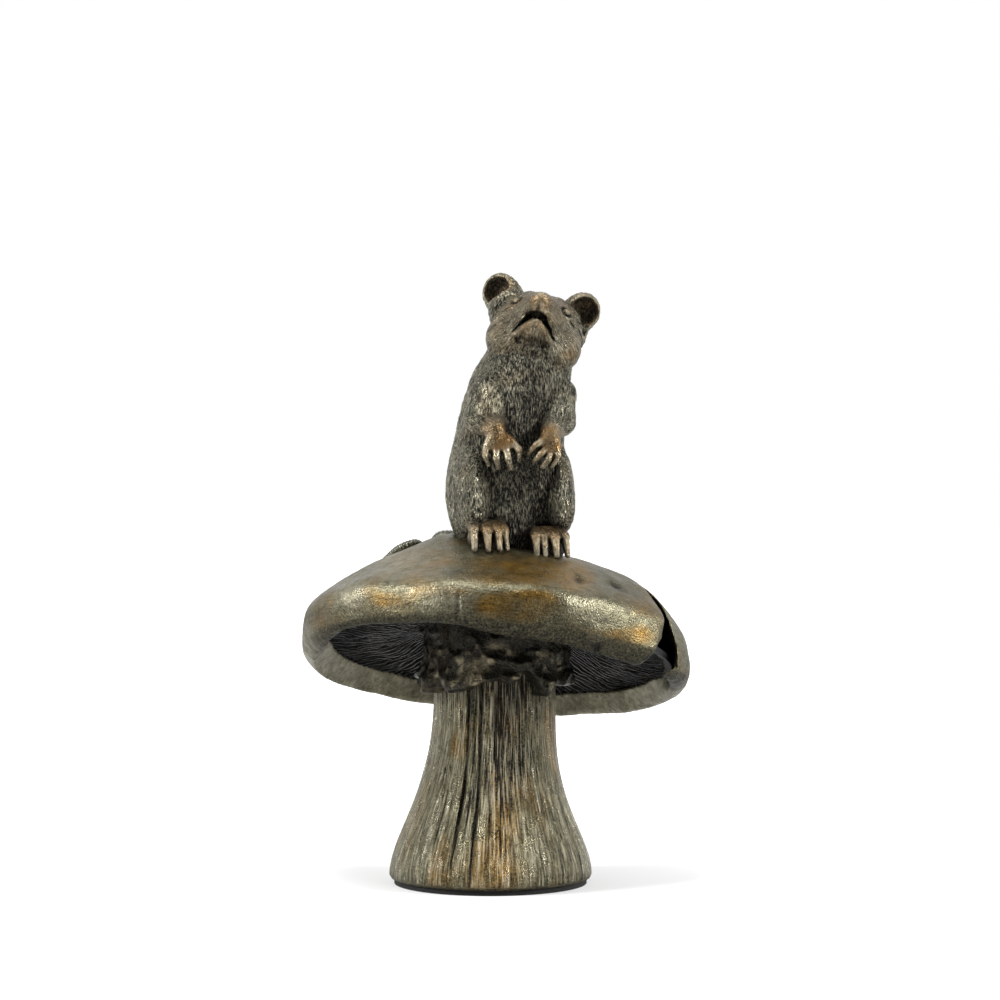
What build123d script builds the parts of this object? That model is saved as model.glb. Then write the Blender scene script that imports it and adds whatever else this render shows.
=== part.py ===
"""Mouse figurine: a bronze mouse sitting up on a tilted mushroom.

Millimetres, +Z up. The origin is the middle of the felt under the foot, and the mouse faces -Y.
The bronze is an assembly of castings: a hollow stem with a torn veil, a hollow cap closed by a plate of gills, and a
mouse built from torso, head, ears, legs, feet and tail. One stud clamps mouse, cap and stem, and pins stop them turning.
"""

from build123d import *
from math import asin, cos, degrees, radians, sin, sqrt
import os

# Mushroom: foot, stem and veil
felt_inset = 1.0
felt_thickness = 1.0
foot_radius = 21.6
foot_edge = 0.9
neck_radius = 12.9
flare_height = 34.0
stem_wall = 3.4
web_thickness = 9.0
veil_reach = 6.8
veil_drop = 12.5
veil_flare = 3.0
veil_wall = 1.2
veil_notch = 1.9

# Mushroom: cap and gills
cap_radius = 41.3
cap_rise = 23.2
cap_wall = 2.4
cap_rim_height = 47.2
cap_tilt_back = 16.0
cap_tilt_side = 5.0
cap_offset_side = 1.1
cap_offset_back = 1.4
lip_drop = 3.4
lip_curl = 2.2
lip_edge = 2.3
split_height = 13.5
split_width = 7.4
split_turn = -28.0
gill_count = 64
gill_depth = 2.6
gill_thickness = 0.7
gill_plate_thickness = 1.3
gill_plate_rise = 9.0
gill_start = 2.6
gill_margin = 0.6

# Mouse
seat_side = 3.0
seat_front = 5.0
mouse_turn = 14.0
torso_height = 43.0
torso_width = 23.6
torso_depth = 25.0
head_length = 20.6
head_width = 19.2
head_pitch = 38.0
head_roll = 13.0
head_turn = 4.0
snout_length = 13.2
mouth_height = 0.9
mouth_depth = 5.0
mouth_slope = 19.0
cheek_radius = 5.2
eye_radius = 1.1
ear_radius = 3.9
ear_wall = 1.0
ear_hollow = 1.7
shoulder_radius = 4.3
elbow_radius = 3.2
wrist_radius = 1.9
palm_radius = 2.5
finger_radius = 0.75
finger_length = 5.4
haunch_radius = 10.2
haunch_thickness = 11.0
haunch_side = 7.8
leg_offset = 0.4
foot_side = 6.9
foot_heel = 4.4
foot_length = 12.0
foot_width = 7.2
foot_height = 5.2
toe_radius = 0.95
tail_radius = 1.5

# Fixings
stud_radius = 2.5
stud_reach = 17.0
stud_tail = 7.0
hole_clearance = 0.2
washer_radius = 5.0
washer_thickness = 1.0
nut_across_flats = 8.0
nut_thickness = 4.0
pin_radius = 0.9
pin_length = 7.0
key_pin_radius = 1.25
key_pin_length = 10.0
key_pin_offset = 6.2
board_thickness = 2.0
overrun = 5.0

# The mouse's torso from its seat up: level, side, front, width and depth
torso_shares = (
    (-0.12, 0.01, -0.05, 0.80, 0.74),
    (0.08, 0.01, -0.05, 0.89, 0.86),
    (0.26, 0.02, -0.03, 0.94, 1.00),
    (0.48, 0.03, -0.01, 0.99, 1.04),
    (0.70, 0.09, 0.03, 0.95, 0.90),
    (0.87, 0.16, 0.09, 0.83, 0.76),
    (1.00, 0.20, 0.13, 0.62, 0.58),
    (1.07, 0.21, 0.14, 0.30, 0.28),
)
# The stem's radius between neck and foot, against the height of the flare
flare_shares = ((0.97, 0.045), (0.87, 0.145), (0.655, 0.30), (0.425, 0.45), (0.23, 0.60), (0.09, 0.76), (0.03, 0.90))
# The split in the cap, sideways and up: its top, its front edge, its foot and its rear edge
split_shares = ((0.14, 1.0), (-0.42, 0.36), (-0.93, -0.30), (0.47, 0.22))
# The snout forward of the skull: distance, drop, width and height
snout_shares = (
    (0.0, 0.0, 0.90, 0.86),
    (0.40, 0.03, 0.74, 0.70),
    (0.72, 0.02, 0.46, 0.44),
    (0.93, 0.0, 0.27, 0.27),
    (1.0, -0.01, 0.12, 0.12),
)
# Joints of each foreleg: side, front and height, against the torso
left_foreleg_shares = ((-0.34, 0.19, 0.745), (-0.36, 0.38, 0.617), (-0.195, 0.545, 0.552), (-0.17, 0.61, 0.49))
right_foreleg_shares = ((0.45, 0.16, 0.765), (0.50, 0.31, 0.64), (0.29, 0.545, 0.56), (0.245, 0.60, 0.505))
# Where each finger ends, sideways and down from the palm, against its length
left_finger_shares = ((-0.60, -0.92), (-0.20, -1.0), (0.20, -1.0), (0.62, -0.80))
right_finger_shares = ((-0.95, -0.45), (-0.66, -0.80), (-0.28, -0.98), (0.12, -0.98))
# Each hind foot from its heel forward: distance, height of its middle, width and thickness
instep_shares = (
    (0.10, 0.36, 0.40, 0.50),
    (0.22, 0.40, 0.66, 0.84),
    (0.45, 0.42, 0.82, 0.92),
    (0.68, 0.44, 0.98, 0.96),
    (0.80, 0.42, 0.86, 0.76),
    (0.86, 0.40, 0.40, 0.34),
)
# Where the toes stand across the foot
toe_spread_shares = (-1.0, -0.32, 0.36, 1.0)
# The tail's line over the back of the cap, sideways and backward against the cap's radius
tail_shares = (
    (0.03, 0.16),
    (-0.12, 0.25),
    (-0.26, 0.07),
    (-0.355, 0.17),
    (-0.45, 0.02),
    (-0.56, 0.11),
    (-0.64, 0.27),
)
# Places round the veil, and how deep each tear there is
tear_shares = (
    (0.02, 0.7),
    (0.11, 1.0),
    (0.22, 0.6),
    (0.33, 0.9),
    (0.45, 1.0),
    (0.56, 0.7),
    (0.66, 1.0),
    (0.80, 0.8),
    (0.91, 1.0),
)


def ellipse_arc(across, along, start, end, steps=8):
    """A smooth quarter or half of an ellipse between two angles, drawn through a few of its points."""
    angles = [radians(start + (end - start) * step / steps) for step in range(steps + 1)]
    points = [(across * cos(angle), along * sin(angle)) for angle in angles]
    first, last = [(-across * sin(angle), along * cos(angle)) for angle in (angles[0], angles[-1])]
    turn = 1 if end > start else -1
    return Spline(*points, tangents=((turn * first[0], turn * first[1]), (turn * last[0], turn * last[1])))


def spheroid(along, across):
    """A solid of revolution about Z with half its length along, and half its width across."""
    arc = ellipse_arc(across, along, -90, 90)
    chord = Line((0, along), (0, -along))
    return revolve(Plane.XZ * make_face([arc, chord]), Axis.Z)


def limb(points, radii):
    """Round joints with straight tapers between them."""
    pieces = [Pos(*point) * Sphere(radius) for point, radius in zip(points, radii)]
    for start, end, low, high in zip(points, points[1:], radii, radii[1:]):
        axis = Vector(*end) - Vector(*start)
        middle = (Vector(*end) + Vector(*start)) * 0.5
        taper = Cone(low, high, axis.length) if low != high else Cylinder(low, axis.length)
        pieces.append(Plane(origin=middle, z_dir=axis) * taper)
    return pieces[0] + pieces[1:]


def finger(start, end, low, high):
    """One tapered joint with round ends, turned as a single solid."""
    axis = Vector(*end) - Vector(*start)
    lean = asin((low - high) / axis.length)
    side = Line(
        (low * cos(lean), low * sin(lean)),
        (high * cos(lean), axis.length + high * sin(lean)),
    )
    lower = CenterArc((0, 0), low, -90, 90 + degrees(lean))
    upper = CenterArc((0, axis.length), high, degrees(lean), 90 - degrees(lean))
    chord = Line((0, axis.length + high), (0, -low))
    turned = revolve(Plane.XZ * make_face([lower, side, upper, chord]), Axis.Z)
    return Plane(origin=Vector(*start), z_dir=axis) * turned


def save(shape, name):
    export_step(shape, f"parts/{name}.step")


os.makedirs("parts", exist_ok=True)

# The cap leans back and a little to its side
cap_place = Pos(cap_offset_side, cap_offset_back, cap_rim_height) * Rot(-cap_tilt_back, 0, 0) * Rot(0, cap_tilt_side, 0)


def crown_height(x, y):
    """How high the cap's outer skin stands over a point of the table."""
    low = (cap_place.inverse() * Pos(x, y, 0)).position
    high = (cap_place.inverse() * Pos(x, y, cap_radius)).position
    step = high - low
    sizes = (cap_radius, cap_radius, cap_rise)
    square = sum((s / size) ** 2 for s, size in zip(tuple(step), sizes))
    cross = sum(a * s / size**2 for a, s, size in zip(tuple(low), tuple(step), sizes))
    rest = sum((a / size) ** 2 for a, size in zip(tuple(low), sizes)) - 1
    return (sqrt(cross**2 - square * rest) - cross) / square * cap_radius


# Cap: a domed shell with a rolled lip
inner_radius = cap_radius - lip_curl - lip_edge
inner_rise = cap_rise - cap_wall
dome_arc = ellipse_arc(cap_radius, cap_rise, 0, 90)
lip_arc = Spline((cap_radius - lip_curl, -lip_drop), (cap_radius, 0), tangents=((1, 0.9), (0, 1)))
hollow_arc = ellipse_arc(inner_radius, inner_rise, 0, 90)
shell_profile = make_face(
    [
        dome_arc,
        lip_arc,
        Line((cap_radius - lip_curl, -lip_drop), (inner_radius, -lip_drop)),
        Line((inner_radius, -lip_drop), (inner_radius, 0)),
        hollow_arc,
        Line((0, inner_rise), (0, cap_rise)),
    ]
)
cap_shell = cap_place * revolve(Plane.XZ * shell_profile, Axis.Z)
filled_profile = make_face(
    [
        dome_arc,
        lip_arc,
        Line((cap_radius - lip_curl, -lip_drop), (0, -lip_drop)),
        Line((0, -lip_drop), (0, cap_rise)),
    ]
)
cap_filled = cap_place * revolve(Plane.XZ * filled_profile, Axis.Z)
hollow_depth = 2 * cap_rim_height
hollow_profile = make_face(
    [
        hollow_arc,
        Line((inner_radius, 0), (inner_radius, -hollow_depth)),
        Line((inner_radius, -hollow_depth), (0, -hollow_depth)),
        Line((0, -hollow_depth), (0, inner_rise)),
    ]
)
cap_hollow = cap_place * revolve(Plane.XZ * hollow_profile, Axis.Z)

# The split in the cap's side is a crescent that runs from the shoulder down to the lip
split_start, split_flap, split_end, split_rear = [(split_width * turn, split_height * up) for turn, up in split_shares]
split_left = ThreePointArc(split_start, split_flap, split_end)
split_right = ThreePointArc(split_end, split_rear, split_start)
split_face = Plane(origin=(0, 0, 0), x_dir=(0, 1, 0), z_dir=(1, 0, 0)) * make_face([split_left, split_right])
split_tool = Pos(cap_radius * 0.6, 0, 0) * extrude(split_face, amount=cap_radius)
cap_shell -= cap_place * Rot(0, 0, split_turn) * split_tool

# Stem: a flared hollow casting, trimmed to the cap's inside
stem_bottom = felt_thickness
flare_points = [
    (foot_radius - (foot_radius - neck_radius) * inward, stem_bottom + foot_edge + flare_height * up)
    for inward, up in ((1 - out, up) for out, up in flare_shares)
]
flare_top = stem_bottom + foot_edge + flare_height
stem_top = cap_rim_height + cap_rise + overrun
outer_line = Spline(
    (foot_radius, stem_bottom + foot_edge),
    *flare_points,
    (neck_radius, flare_top),
    tangents=((0, 1), (0, 1)),
)
stem_profile = make_face(
    [
        Line((0, stem_bottom), (foot_radius - foot_edge, stem_bottom)),
        Line((foot_radius - foot_edge, stem_bottom), (foot_radius, stem_bottom + foot_edge)),
        outer_line,
        Line((neck_radius, flare_top), (neck_radius, stem_top)),
        Line((neck_radius, stem_top), (0, stem_top)),
        Line((0, stem_top), (0, stem_bottom)),
    ]
)
stem_solid = revolve(Plane.XZ * stem_profile, Axis.Z)
bore_radius = neck_radius - stem_wall
bore_mouth = foot_radius - stem_wall
board_radius = bore_mouth + stem_wall / 4
web_top = crown_height(0, 0) - cap_wall
web_bottom = web_top - web_thickness
bore_profile = make_face(
    [
        Polyline((0, stem_bottom), (bore_mouth, stem_bottom), (bore_mouth, stem_bottom + board_thickness)),
        Spline(
            (bore_mouth, stem_bottom + board_thickness),
            *[(x - stem_wall, y) for x, y in flare_points[1:]],
            (bore_radius, flare_top),
        ),
        Polyline((bore_radius, flare_top), (bore_radius, web_bottom), (0, web_bottom), (0, stem_bottom)),
    ]
)
stem_bore = revolve(Plane.XZ * bore_profile, Axis.Z)
board_seat = Pos(0, 0, stem_bottom + board_thickness / 2) * Cylinder(board_radius, board_thickness)
stud_hole = Pos(0, 0, web_top) * Cylinder(stud_radius + hole_clearance, 2 * web_thickness + 2 * overrun)
stem_casting = (stem_solid & cap_hollow) - stem_bore - board_seat - stud_hole
cap_shell -= stud_hole

# Gill plate: a shallow cone that closes the cap, with thin radial gills below it
plate_inner = neck_radius - stem_wall
plate_low = 0.2 * lip_drop
plate_reach = inner_radius + gill_plate_thickness
plate_profile = make_face(
    Polyline(
        (plate_reach, plate_low),
        (plate_reach, plate_low + gill_plate_thickness),
        (plate_inner, gill_plate_rise + gill_plate_thickness),
        (plate_inner, gill_plate_rise),
        close=True,
    )
)
cone = (cap_place * revolve(Plane.XZ * plate_profile, Axis.Z)) & cap_hollow
gill_inner = neck_radius + gill_start
gill_outer = inner_radius - gill_margin


def plate_level(radius):
    """The height of the plate's underside at a radius from the cap's axis."""
    return plate_low + (gill_plate_rise - plate_low) * (plate_reach - radius) / (plate_reach - plate_inner)


gill_root = gill_plate_thickness / 2
gill_belly = gill_outer - (gill_outer - gill_inner) / 4
gill_profile = make_face(
    Polyline(
        (gill_inner, plate_level(gill_inner) + gill_root),
        (gill_outer, plate_level(gill_outer) + gill_root),
        (gill_outer, plate_level(gill_outer) - gill_thickness),
        (gill_belly, plate_level(gill_belly) - gill_depth),
        (gill_inner, plate_level(gill_inner) - gill_depth / 2),
        close=True,
    )
)
gill = extrude(Plane.XZ * gill_profile, amount=gill_thickness / 2, both=True)
gills = [cap_place * Rot(0, 0, 360 * index / gill_count) * gill for index in range(gill_count)]
gill_plate = cone + gills - Cylinder(neck_radius, 2 * stem_top)

# Torn veil: a flared collar round the neck with a ragged lower edge
veil_top = cap_rim_height + veil_reach
veil_profile = make_face(
    Polyline(
        (neck_radius, veil_top),
        (neck_radius + veil_wall, veil_top),
        (neck_radius + veil_flare, veil_top - veil_drop + veil_wall),
        (neck_radius + veil_flare - veil_wall / 2, veil_top - veil_drop),
        (neck_radius, veil_top - veil_drop / 2),
        close=True,
    )
)
over_plate_profile = make_face(
    Polyline(
        (0, gill_plate_rise),
        (plate_inner, gill_plate_rise),
        (plate_reach, plate_low),
        (plate_reach, cap_rise),
        (0, cap_rise),
        close=True,
    )
)
over_plate = cap_place * revolve(Plane.XZ * over_plate_profile, Axis.Z)
torn_veil = revolve(Plane.XZ * veil_profile, Axis.Z) - over_plate
tears = [
    Rot(0, 0, 360 * turn)
    * Pos(neck_radius, 0, veil_top - veil_drop)
    * Rot(0, 90, 0)
    * Cylinder(veil_notch * depth, 4 * veil_flare)
    for turn, depth in tear_shares
]
torn_veil -= tears

# The mouse's frame: its seat on the cap, turned a little to its left
seat_height = crown_height(seat_side, -seat_front)
mouse_place = Pos(seat_side, -seat_front, seat_height) * Rot(0, 0, mouse_turn)


def on_mouse(side, front, up):
    """A point in the mouse's own frame, where front is the way its belly faces."""
    return (mouse_place * Pos(side, -front, up)).position


# Torso: ellipses from the seat to the neck
torso_rings = [
    mouse_place
    * Pos(side * torso_width, -front * torso_depth, level * torso_height)
    * Ellipse(width * torso_width / 2, depth * torso_depth / 2)
    for level, side, front, width, depth in torso_shares
]
torso_solid = loft(torso_rings)
torso_drill = Pos(0, 0, crown_height(0, 0)) * Cylinder(stud_radius, 2 * stud_reach)
mouse_torso = torso_solid - cap_filled - torso_drill

# Head: skull, snout and cheeks, with the mouth cut under the snout
head_centre = on_mouse(0.216 * torso_width, 0.174 * torso_depth, 1.026 * torso_height)
head_place = Pos(*head_centre) * Rot(0, 0, head_turn) * Rot(0, head_roll, 0) * Rot(-head_pitch, 0, 0)
skull = Rot(90, 0, 0) * spheroid(head_length / 2, head_width / 2)
snout_rings = [
    Plane(origin=(0, -ahead * snout_length, -drop * head_width), z_dir=(0, -1, 0))
    * Ellipse(width * head_width / 2, height * head_width / 2)
    for ahead, drop, width, height in snout_shares
]
snout = loft(snout_rings)
cheeks = [
    Pos(side * 0.26 * head_width, -0.06 * head_length, -0.14 * head_width) * Sphere(cheek_radius) for side in (-1, 1)
]
eyes = [
    Pos(side * 0.30 * head_width, -0.33 * head_length, 0.17 * head_width) * Sphere(eye_radius) for side in (-1, 1)
]
chin = Pos(0, -0.26 * head_length, -0.25 * head_width) * Sphere(cheek_radius * 0.7)
mouth = Pos(0, -0.80 * snout_length, -0.15 * head_width) * Rot(-mouth_slope, 0, 0) * Box(head_width, mouth_depth, mouth_height)
head_solid = head_place * (skull + [snout, chin, *cheeks, *eyes] - mouth)
mouse_head = head_solid - torso_solid

# Ears: shallow cups on the back of the skull
ear_profile = make_face(
    [
        ellipse_arc(ear_radius, ear_hollow + ear_wall, -90, 0),
        Line((ear_radius, 0), (ear_radius - ear_wall, 0)),
        ellipse_arc(ear_radius - ear_wall, ear_hollow, -90, 0),
        Line((0, -ear_hollow), (0, -ear_hollow - ear_wall)),
    ]
)
ear_cup = revolve(Plane.XZ * ear_profile, Axis.Z)


def ear(side):
    """An ear on one side of the head, its hollow turned forward and outward."""
    centre = Vector(side * 0.46 * head_width, 0, 0.47 * head_width)
    facing = Plane(origin=centre, z_dir=(side * 0.25, -0.80, -0.55))
    back = facing.z_dir * -ear_hollow
    root = limb([tuple(centre * 0.55), tuple(centre * 0.92 + back)], [ear_radius * 0.8, ear_radius * 0.6])
    root -= facing * Pos(0, 0, ear_radius - ear_hollow) * Cylinder(2 * ear_radius, 2 * ear_radius)
    return head_place * (facing * ear_cup + root) - head_solid


ear_left = ear(-1)
ear_right = ear(1)


def foreleg(joint_shares, finger_shares):
    """Upper arm, forearm, palm and four fingers that hang from the palm."""
    joints = [on_mouse(side * torso_width, front * torso_depth, up * torso_height) for side, front, up in joint_shares]
    radii = [shoulder_radius, elbow_radius, wrist_radius, palm_radius]
    arm = limb([tuple(joint) for joint in joints], radii)
    palm = joints[-1]
    fingers = []
    for index, (side, down) in enumerate(finger_shares):
        spread = (index - 1.5) / 1.5 * palm_radius * 0.72
        root = palm + Vector(spread, -palm_radius / 2, -palm_radius / 2)
        tip = palm + Vector(side * finger_length, -palm_radius / 2, down * finger_length)
        fingers.append(limb([tuple(root), tuple(tip)], [finger_radius * 1.2, finger_radius]))
    return arm + fingers - torso_solid - head_solid


foreleg_left = foreleg(left_foreleg_shares, left_finger_shares)
foreleg_right = foreleg(right_foreleg_shares, right_finger_shares)


def haunch_shape(side):
    """The thigh as a thick lens against the flank."""
    centre = on_mouse(leg_offset + side * haunch_side, 0.07 * torso_depth, 1.105 * haunch_radius)
    return Pos(*centre) * Rot(0, 0, mouse_turn) * Rot(0, 90, 0) * spheroid(haunch_thickness / 2, haunch_radius)


def foot_shape(side):
    """A long foot that follows the cap, with four toes bent down to its skin."""
    across = Vector(cos(radians(mouse_turn)), sin(radians(mouse_turn)), 0)

    def along(share, lift, spread=0.0):
        spot = on_mouse(side * foot_side, foot_heel + foot_length * share, 0) + across * spread
        return Vector(spot.X, spot.Y, crown_height(spot.X, spot.Y) + lift * foot_height)

    rings = [
        Plane(origin=along(share, lift), x_dir=across, z_dir=Vector(across.Y, -across.X, 0))
        * Ellipse(width * foot_width / 2, height * foot_height / 2)
        for share, lift, width, height in instep_shares
    ]
    toes = []
    for share in toe_spread_shares:
        spread = share * (foot_width / 2 - toe_radius)
        toes.append(finger(along(0.60, 0.40, spread), along(0.87, 0.52, spread), toe_radius * 1.06, toe_radius))
        toes.append(finger(along(0.88, 0.46, spread), along(1.0, 0.12, spread), toe_radius * 0.96, toe_radius * 0.86))
    return loft(rings) + toes


haunch_left = haunch_shape(-1) - torso_solid - cap_filled - foreleg_left
haunch_right = haunch_shape(1) - torso_solid - cap_filled - foreleg_right
hind_foot_left = foot_shape(-1) - torso_solid - haunch_shape(-1) - cap_filled
hind_foot_right = foot_shape(1) - torso_solid - haunch_shape(1) - cap_filled

# Tail: a tapering round rope of bronze laid in waves over the back of the cap
tail_points = []
for index, (side, back) in enumerate(tail_shares):
    x, y = cap_offset_side + side * cap_radius, cap_offset_back + back * cap_radius
    tail_points.append((x, y, crown_height(x, y) + tail_radius * 0.4))
tail_line = Spline(*tail_points)
tail_steps = 18
tail_taper_share = 0.6
tail_rings = [
    tail_line.location_at(step / tail_steps) * Circle(tail_radius * (1 - tail_taper_share * step / tail_steps))
    for step in range(tail_steps + 1)
]
tail = loft(tail_rings) - torso_solid - cap_filled

# Fixings inside: a stud from under the web up into the torso, clamped by a washer and a nut
stud_top = crown_height(0, 0) + stud_reach
stud_bottom = web_bottom - stud_tail
tie_stud = Pos(0, 0, (stud_top + stud_bottom) / 2) * Cylinder(stud_radius, stud_top - stud_bottom)
washer_place = Pos(0, 0, web_bottom - washer_thickness / 2)
stud_washer = washer_place * (
    Cylinder(washer_radius, washer_thickness) - Cylinder(stud_radius + hole_clearance, washer_thickness)
)
nut_profile = RegularPolygon(nut_across_flats / 2, 6, major_radius=False)
nut_place = Pos(0, 0, web_bottom - washer_thickness - nut_thickness)
stud_nut = nut_place * extrude(nut_profile, amount=nut_thickness) - tie_stud

# Pins that stop the mouse and the cap from turning
key_pin = Pos(key_pin_offset, 0, crown_height(key_pin_offset, 0)) * Cylinder(key_pin_radius, key_pin_length)
pin_places = [on_mouse(side * foot_side, foot_heel + foot_length * 0.55, 0) for side in (-1, 1)]
foot_pin_left, foot_pin_right = [
    Pos(place.X, place.Y, crown_height(place.X, place.Y)) * Cylinder(pin_radius, pin_length) for place in pin_places
]
mouse_torso -= key_pin
cap_shell -= [key_pin, foot_pin_left, foot_pin_right]
stem_casting -= key_pin
hind_foot_left -= foot_pin_left
hind_foot_right -= foot_pin_right

# Under the foot: a board let into the casting, and the felt glued below it
base_disc = board_seat
felt_pad = Pos(0, 0, felt_thickness / 2) * Cylinder(foot_radius - felt_inset, felt_thickness)

nodes = {
    "stem_casting": stem_casting,
    "torn_veil": torn_veil,
    "cap_shell": cap_shell,
    "gill_plate": gill_plate,
    "mouse_torso": mouse_torso,
    "mouse_head": mouse_head,
    "ear_left": ear_left,
    "ear_right": ear_right,
    "foreleg_left": foreleg_left,
    "foreleg_right": foreleg_right,
    "haunch_left": haunch_left,
    "haunch_right": haunch_right,
    "hind_foot_left": hind_foot_left,
    "hind_foot_right": hind_foot_right,
    "tail": tail,
    "tie_stud": tie_stud,
    "stud_washer": stud_washer,
    "stud_nut": stud_nut,
    "cap_key_pin": key_pin,
    "foot_pin_left": foot_pin_left,
    "foot_pin_right": foot_pin_right,
    "base_disc": base_disc,
    "felt_pad": felt_pad,
}
for name, shape in nodes.items():
    save(shape, name)
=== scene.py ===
import itertools
from math import cos, pi, radians, sin

import bpy
import numpy as np
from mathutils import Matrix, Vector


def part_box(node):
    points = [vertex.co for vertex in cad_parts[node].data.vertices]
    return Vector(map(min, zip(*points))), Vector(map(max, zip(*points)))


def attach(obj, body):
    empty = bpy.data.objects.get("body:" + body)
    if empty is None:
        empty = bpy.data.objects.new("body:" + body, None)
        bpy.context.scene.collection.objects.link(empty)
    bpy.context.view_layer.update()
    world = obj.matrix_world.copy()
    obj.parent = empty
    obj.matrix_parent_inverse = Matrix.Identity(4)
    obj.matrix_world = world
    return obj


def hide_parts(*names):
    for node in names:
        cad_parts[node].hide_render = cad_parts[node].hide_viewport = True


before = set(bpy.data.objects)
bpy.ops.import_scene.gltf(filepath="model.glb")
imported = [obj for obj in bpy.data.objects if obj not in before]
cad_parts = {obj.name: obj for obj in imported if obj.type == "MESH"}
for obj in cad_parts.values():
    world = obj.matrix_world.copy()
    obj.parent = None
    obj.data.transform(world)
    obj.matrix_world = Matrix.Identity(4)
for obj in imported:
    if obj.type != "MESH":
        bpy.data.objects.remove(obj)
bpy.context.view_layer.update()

import openvdb
from mathutils import Vector

# The stem is a hollow bronze casting that flares into a round foot. The wax was combed from top to bottom
# with a toothed tool, so it is covered with upright fibres, with a few deep grooves and ring knots.
# Sizes are in millimetres here and turn into metres when a piece is made.
foot_low, foot_high = [np.array(corner) * 1000 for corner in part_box("felt_pad")]
board_low, board_high = [np.array(corner) * 1000 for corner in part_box("base_disc")]
felt_inset = 1.0
foot_radius = (foot_high[0] - foot_low[0]) / 2 + felt_inset
foot_bevel = 0.9
board_radius = (board_high[0] - board_low[0]) / 2
board_top = board_high[2]
stem_bottom = foot_high[2]
stem_top = 60.0
neck_radius = 12.9
neck_shift = 0.9
flare_height = 34.0
flare_bend = 0.475
stem_columns = 640
stem_rows = 132
comb_radius = 15
groove_width = 0.34
groove_cut = 0.62
# Each groove: its angle from the front in degrees, its lowest and highest level, and its share of the depth.
grooves = (
    (-24, 6, 52, 1.0),
    (-12, 2, 50, 1.0),
    (-17.5, 24, 50, 0.7),
    (-46, 20, 34, 0.8),
    (1, 26, 44, 0.7),
    (-31, 28, 50, 0.6),
    (6.5, 30, 52, 0.5),
    (-38, 8, 22, 0.5),
    (24, 18, 40, 0.5),
    (14, 4, 22, 0.4),
    (128, 6, 46, 0.9),
    (171, 3, 40, 0.8),
    (-98, 10, 50, 0.8),
    (92, 8, 36, 0.7),
    (-140, 4, 48, 0.9),
)
# Each knot: its angle from the front, its level and its size.
knot_marks = ((-43, 25.0, 0.85), (49, 11.3, 0.8), (62, 7.2, 0.5), (-8, 33.0, 0.5), (130, 20.0, 0.9))


def lumps(points, size, seed=1):
    """A smooth random value from -1 to 1 at each point, with lumps of the given size."""
    place = points / np.array(size, dtype=np.float64) + 517.3 + 31.7 * seed
    cell = np.floor(place).astype(np.int64)
    part = place - cell
    part = part * part * (3 - 2 * part)
    total = np.zeros(len(points))
    for corner in itertools.product((0, 1), repeat=3):
        x, y, z = (cell + np.array(corner)).T
        key = (x * 73856093) ^ (y * 19349663) ^ (z * 83492791) ^ (seed * 2654435761)
        key = ((key ^ (key >> 15)) * 2246822519) & 0xFFFFFFFF
        key = ((key ^ (key >> 13)) * 3266489917) & 0xFFFFFFFF
        random = ((key ^ (key >> 16)) & 0xFFFF) / 32767.5 - 1
        weight = np.ones(len(points))
        for axis in range(3):
            weight *= part[:, axis] if corner[axis] else 1 - part[:, axis]
        total += weight * random
    return total


def soft_step(value, low, high):
    """0 below low, 1 above high and smooth between them."""
    share = np.clip((value - low) / (high - low), 0, 1)
    return share * share * (3 - 2 * share)


def spot(distance, radius):
    """A round spot that is 1 in its middle and fades out over its radius."""
    return np.exp(-((distance / radius) ** 2))


def cast_piece(name, points, faces, finishes, material):
    """A smooth mesh from points in millimetres, with its finish values."""
    mesh = bpy.data.meshes.new(name)
    faces = [np.asarray(group, dtype=np.int32) for group in faces if len(group)]
    corners = np.concatenate([group.ravel() for group in faces])
    sizes = np.concatenate([np.full(len(group), group.shape[1], dtype=np.int32) for group in faces])
    starts = np.concatenate([[0], np.cumsum(sizes)[:-1]]).astype(np.int32)
    mesh.vertices.add(len(points))
    mesh.vertices.foreach_set("co", (points * 0.001).astype(np.float32).ravel())
    mesh.loops.add(len(corners))
    mesh.loops.foreach_set("vertex_index", corners)
    mesh.polygons.add(len(sizes))
    mesh.polygons.foreach_set("loop_start", starts)
    mesh.polygons.foreach_set("use_smooth", np.ones(len(sizes), dtype=bool))
    for key, values in finishes.items():
        if values.ndim == 2:
            layer = mesh.attributes.new(key, "FLOAT_VECTOR", "POINT")
            layer.data.foreach_set("vector", values.astype(np.float32).ravel())
        else:
            layer = mesh.attributes.new(key, "FLOAT", "POINT")
            layer.data.foreach_set("value", np.clip(values, -1, 1).astype(np.float32))
    mesh.update(calc_edges=True)
    mesh.validate()
    piece = bpy.data.objects.new(name, mesh)
    bpy.context.collection.objects.link(piece)
    mesh.materials.append(material)
    return piece


def set_inputs(tree, node, inputs):
    """Sets a node's inputs, by name or number, to values, or links them to other nodes' outputs."""
    for key, value in inputs.items():
        if isinstance(value, bpy.types.NodeSocket):
            tree.links.new(value, node.inputs[key])
        else:
            node.inputs[key].default_value = value


def add_node(tree, kind, inputs=None, **settings):
    """A new node with its settings made and its inputs set."""
    node = tree.nodes.new(kind)
    for key, value in settings.items():
        setattr(node, key, value)
    set_inputs(tree, node, inputs or {})
    return node


def tree_math(tree, operation, first, second=0.0, clamp=False):
    inputs = {0: first, 1: second}
    return add_node(tree, "ShaderNodeMath", inputs, operation=operation, use_clamp=clamp).outputs[0]


def colour_mix(tree, amount, under, over):
    """One colour laid over another. A colour is red, green and blue, or another node's output."""
    under, over = [(*colour, 1) if isinstance(colour, tuple) else colour for colour in (under, over)]
    return add_node(tree, "ShaderNodeMix", {"Factor": amount, 6: under, 7: over}, data_type="RGBA").outputs[2]


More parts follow.
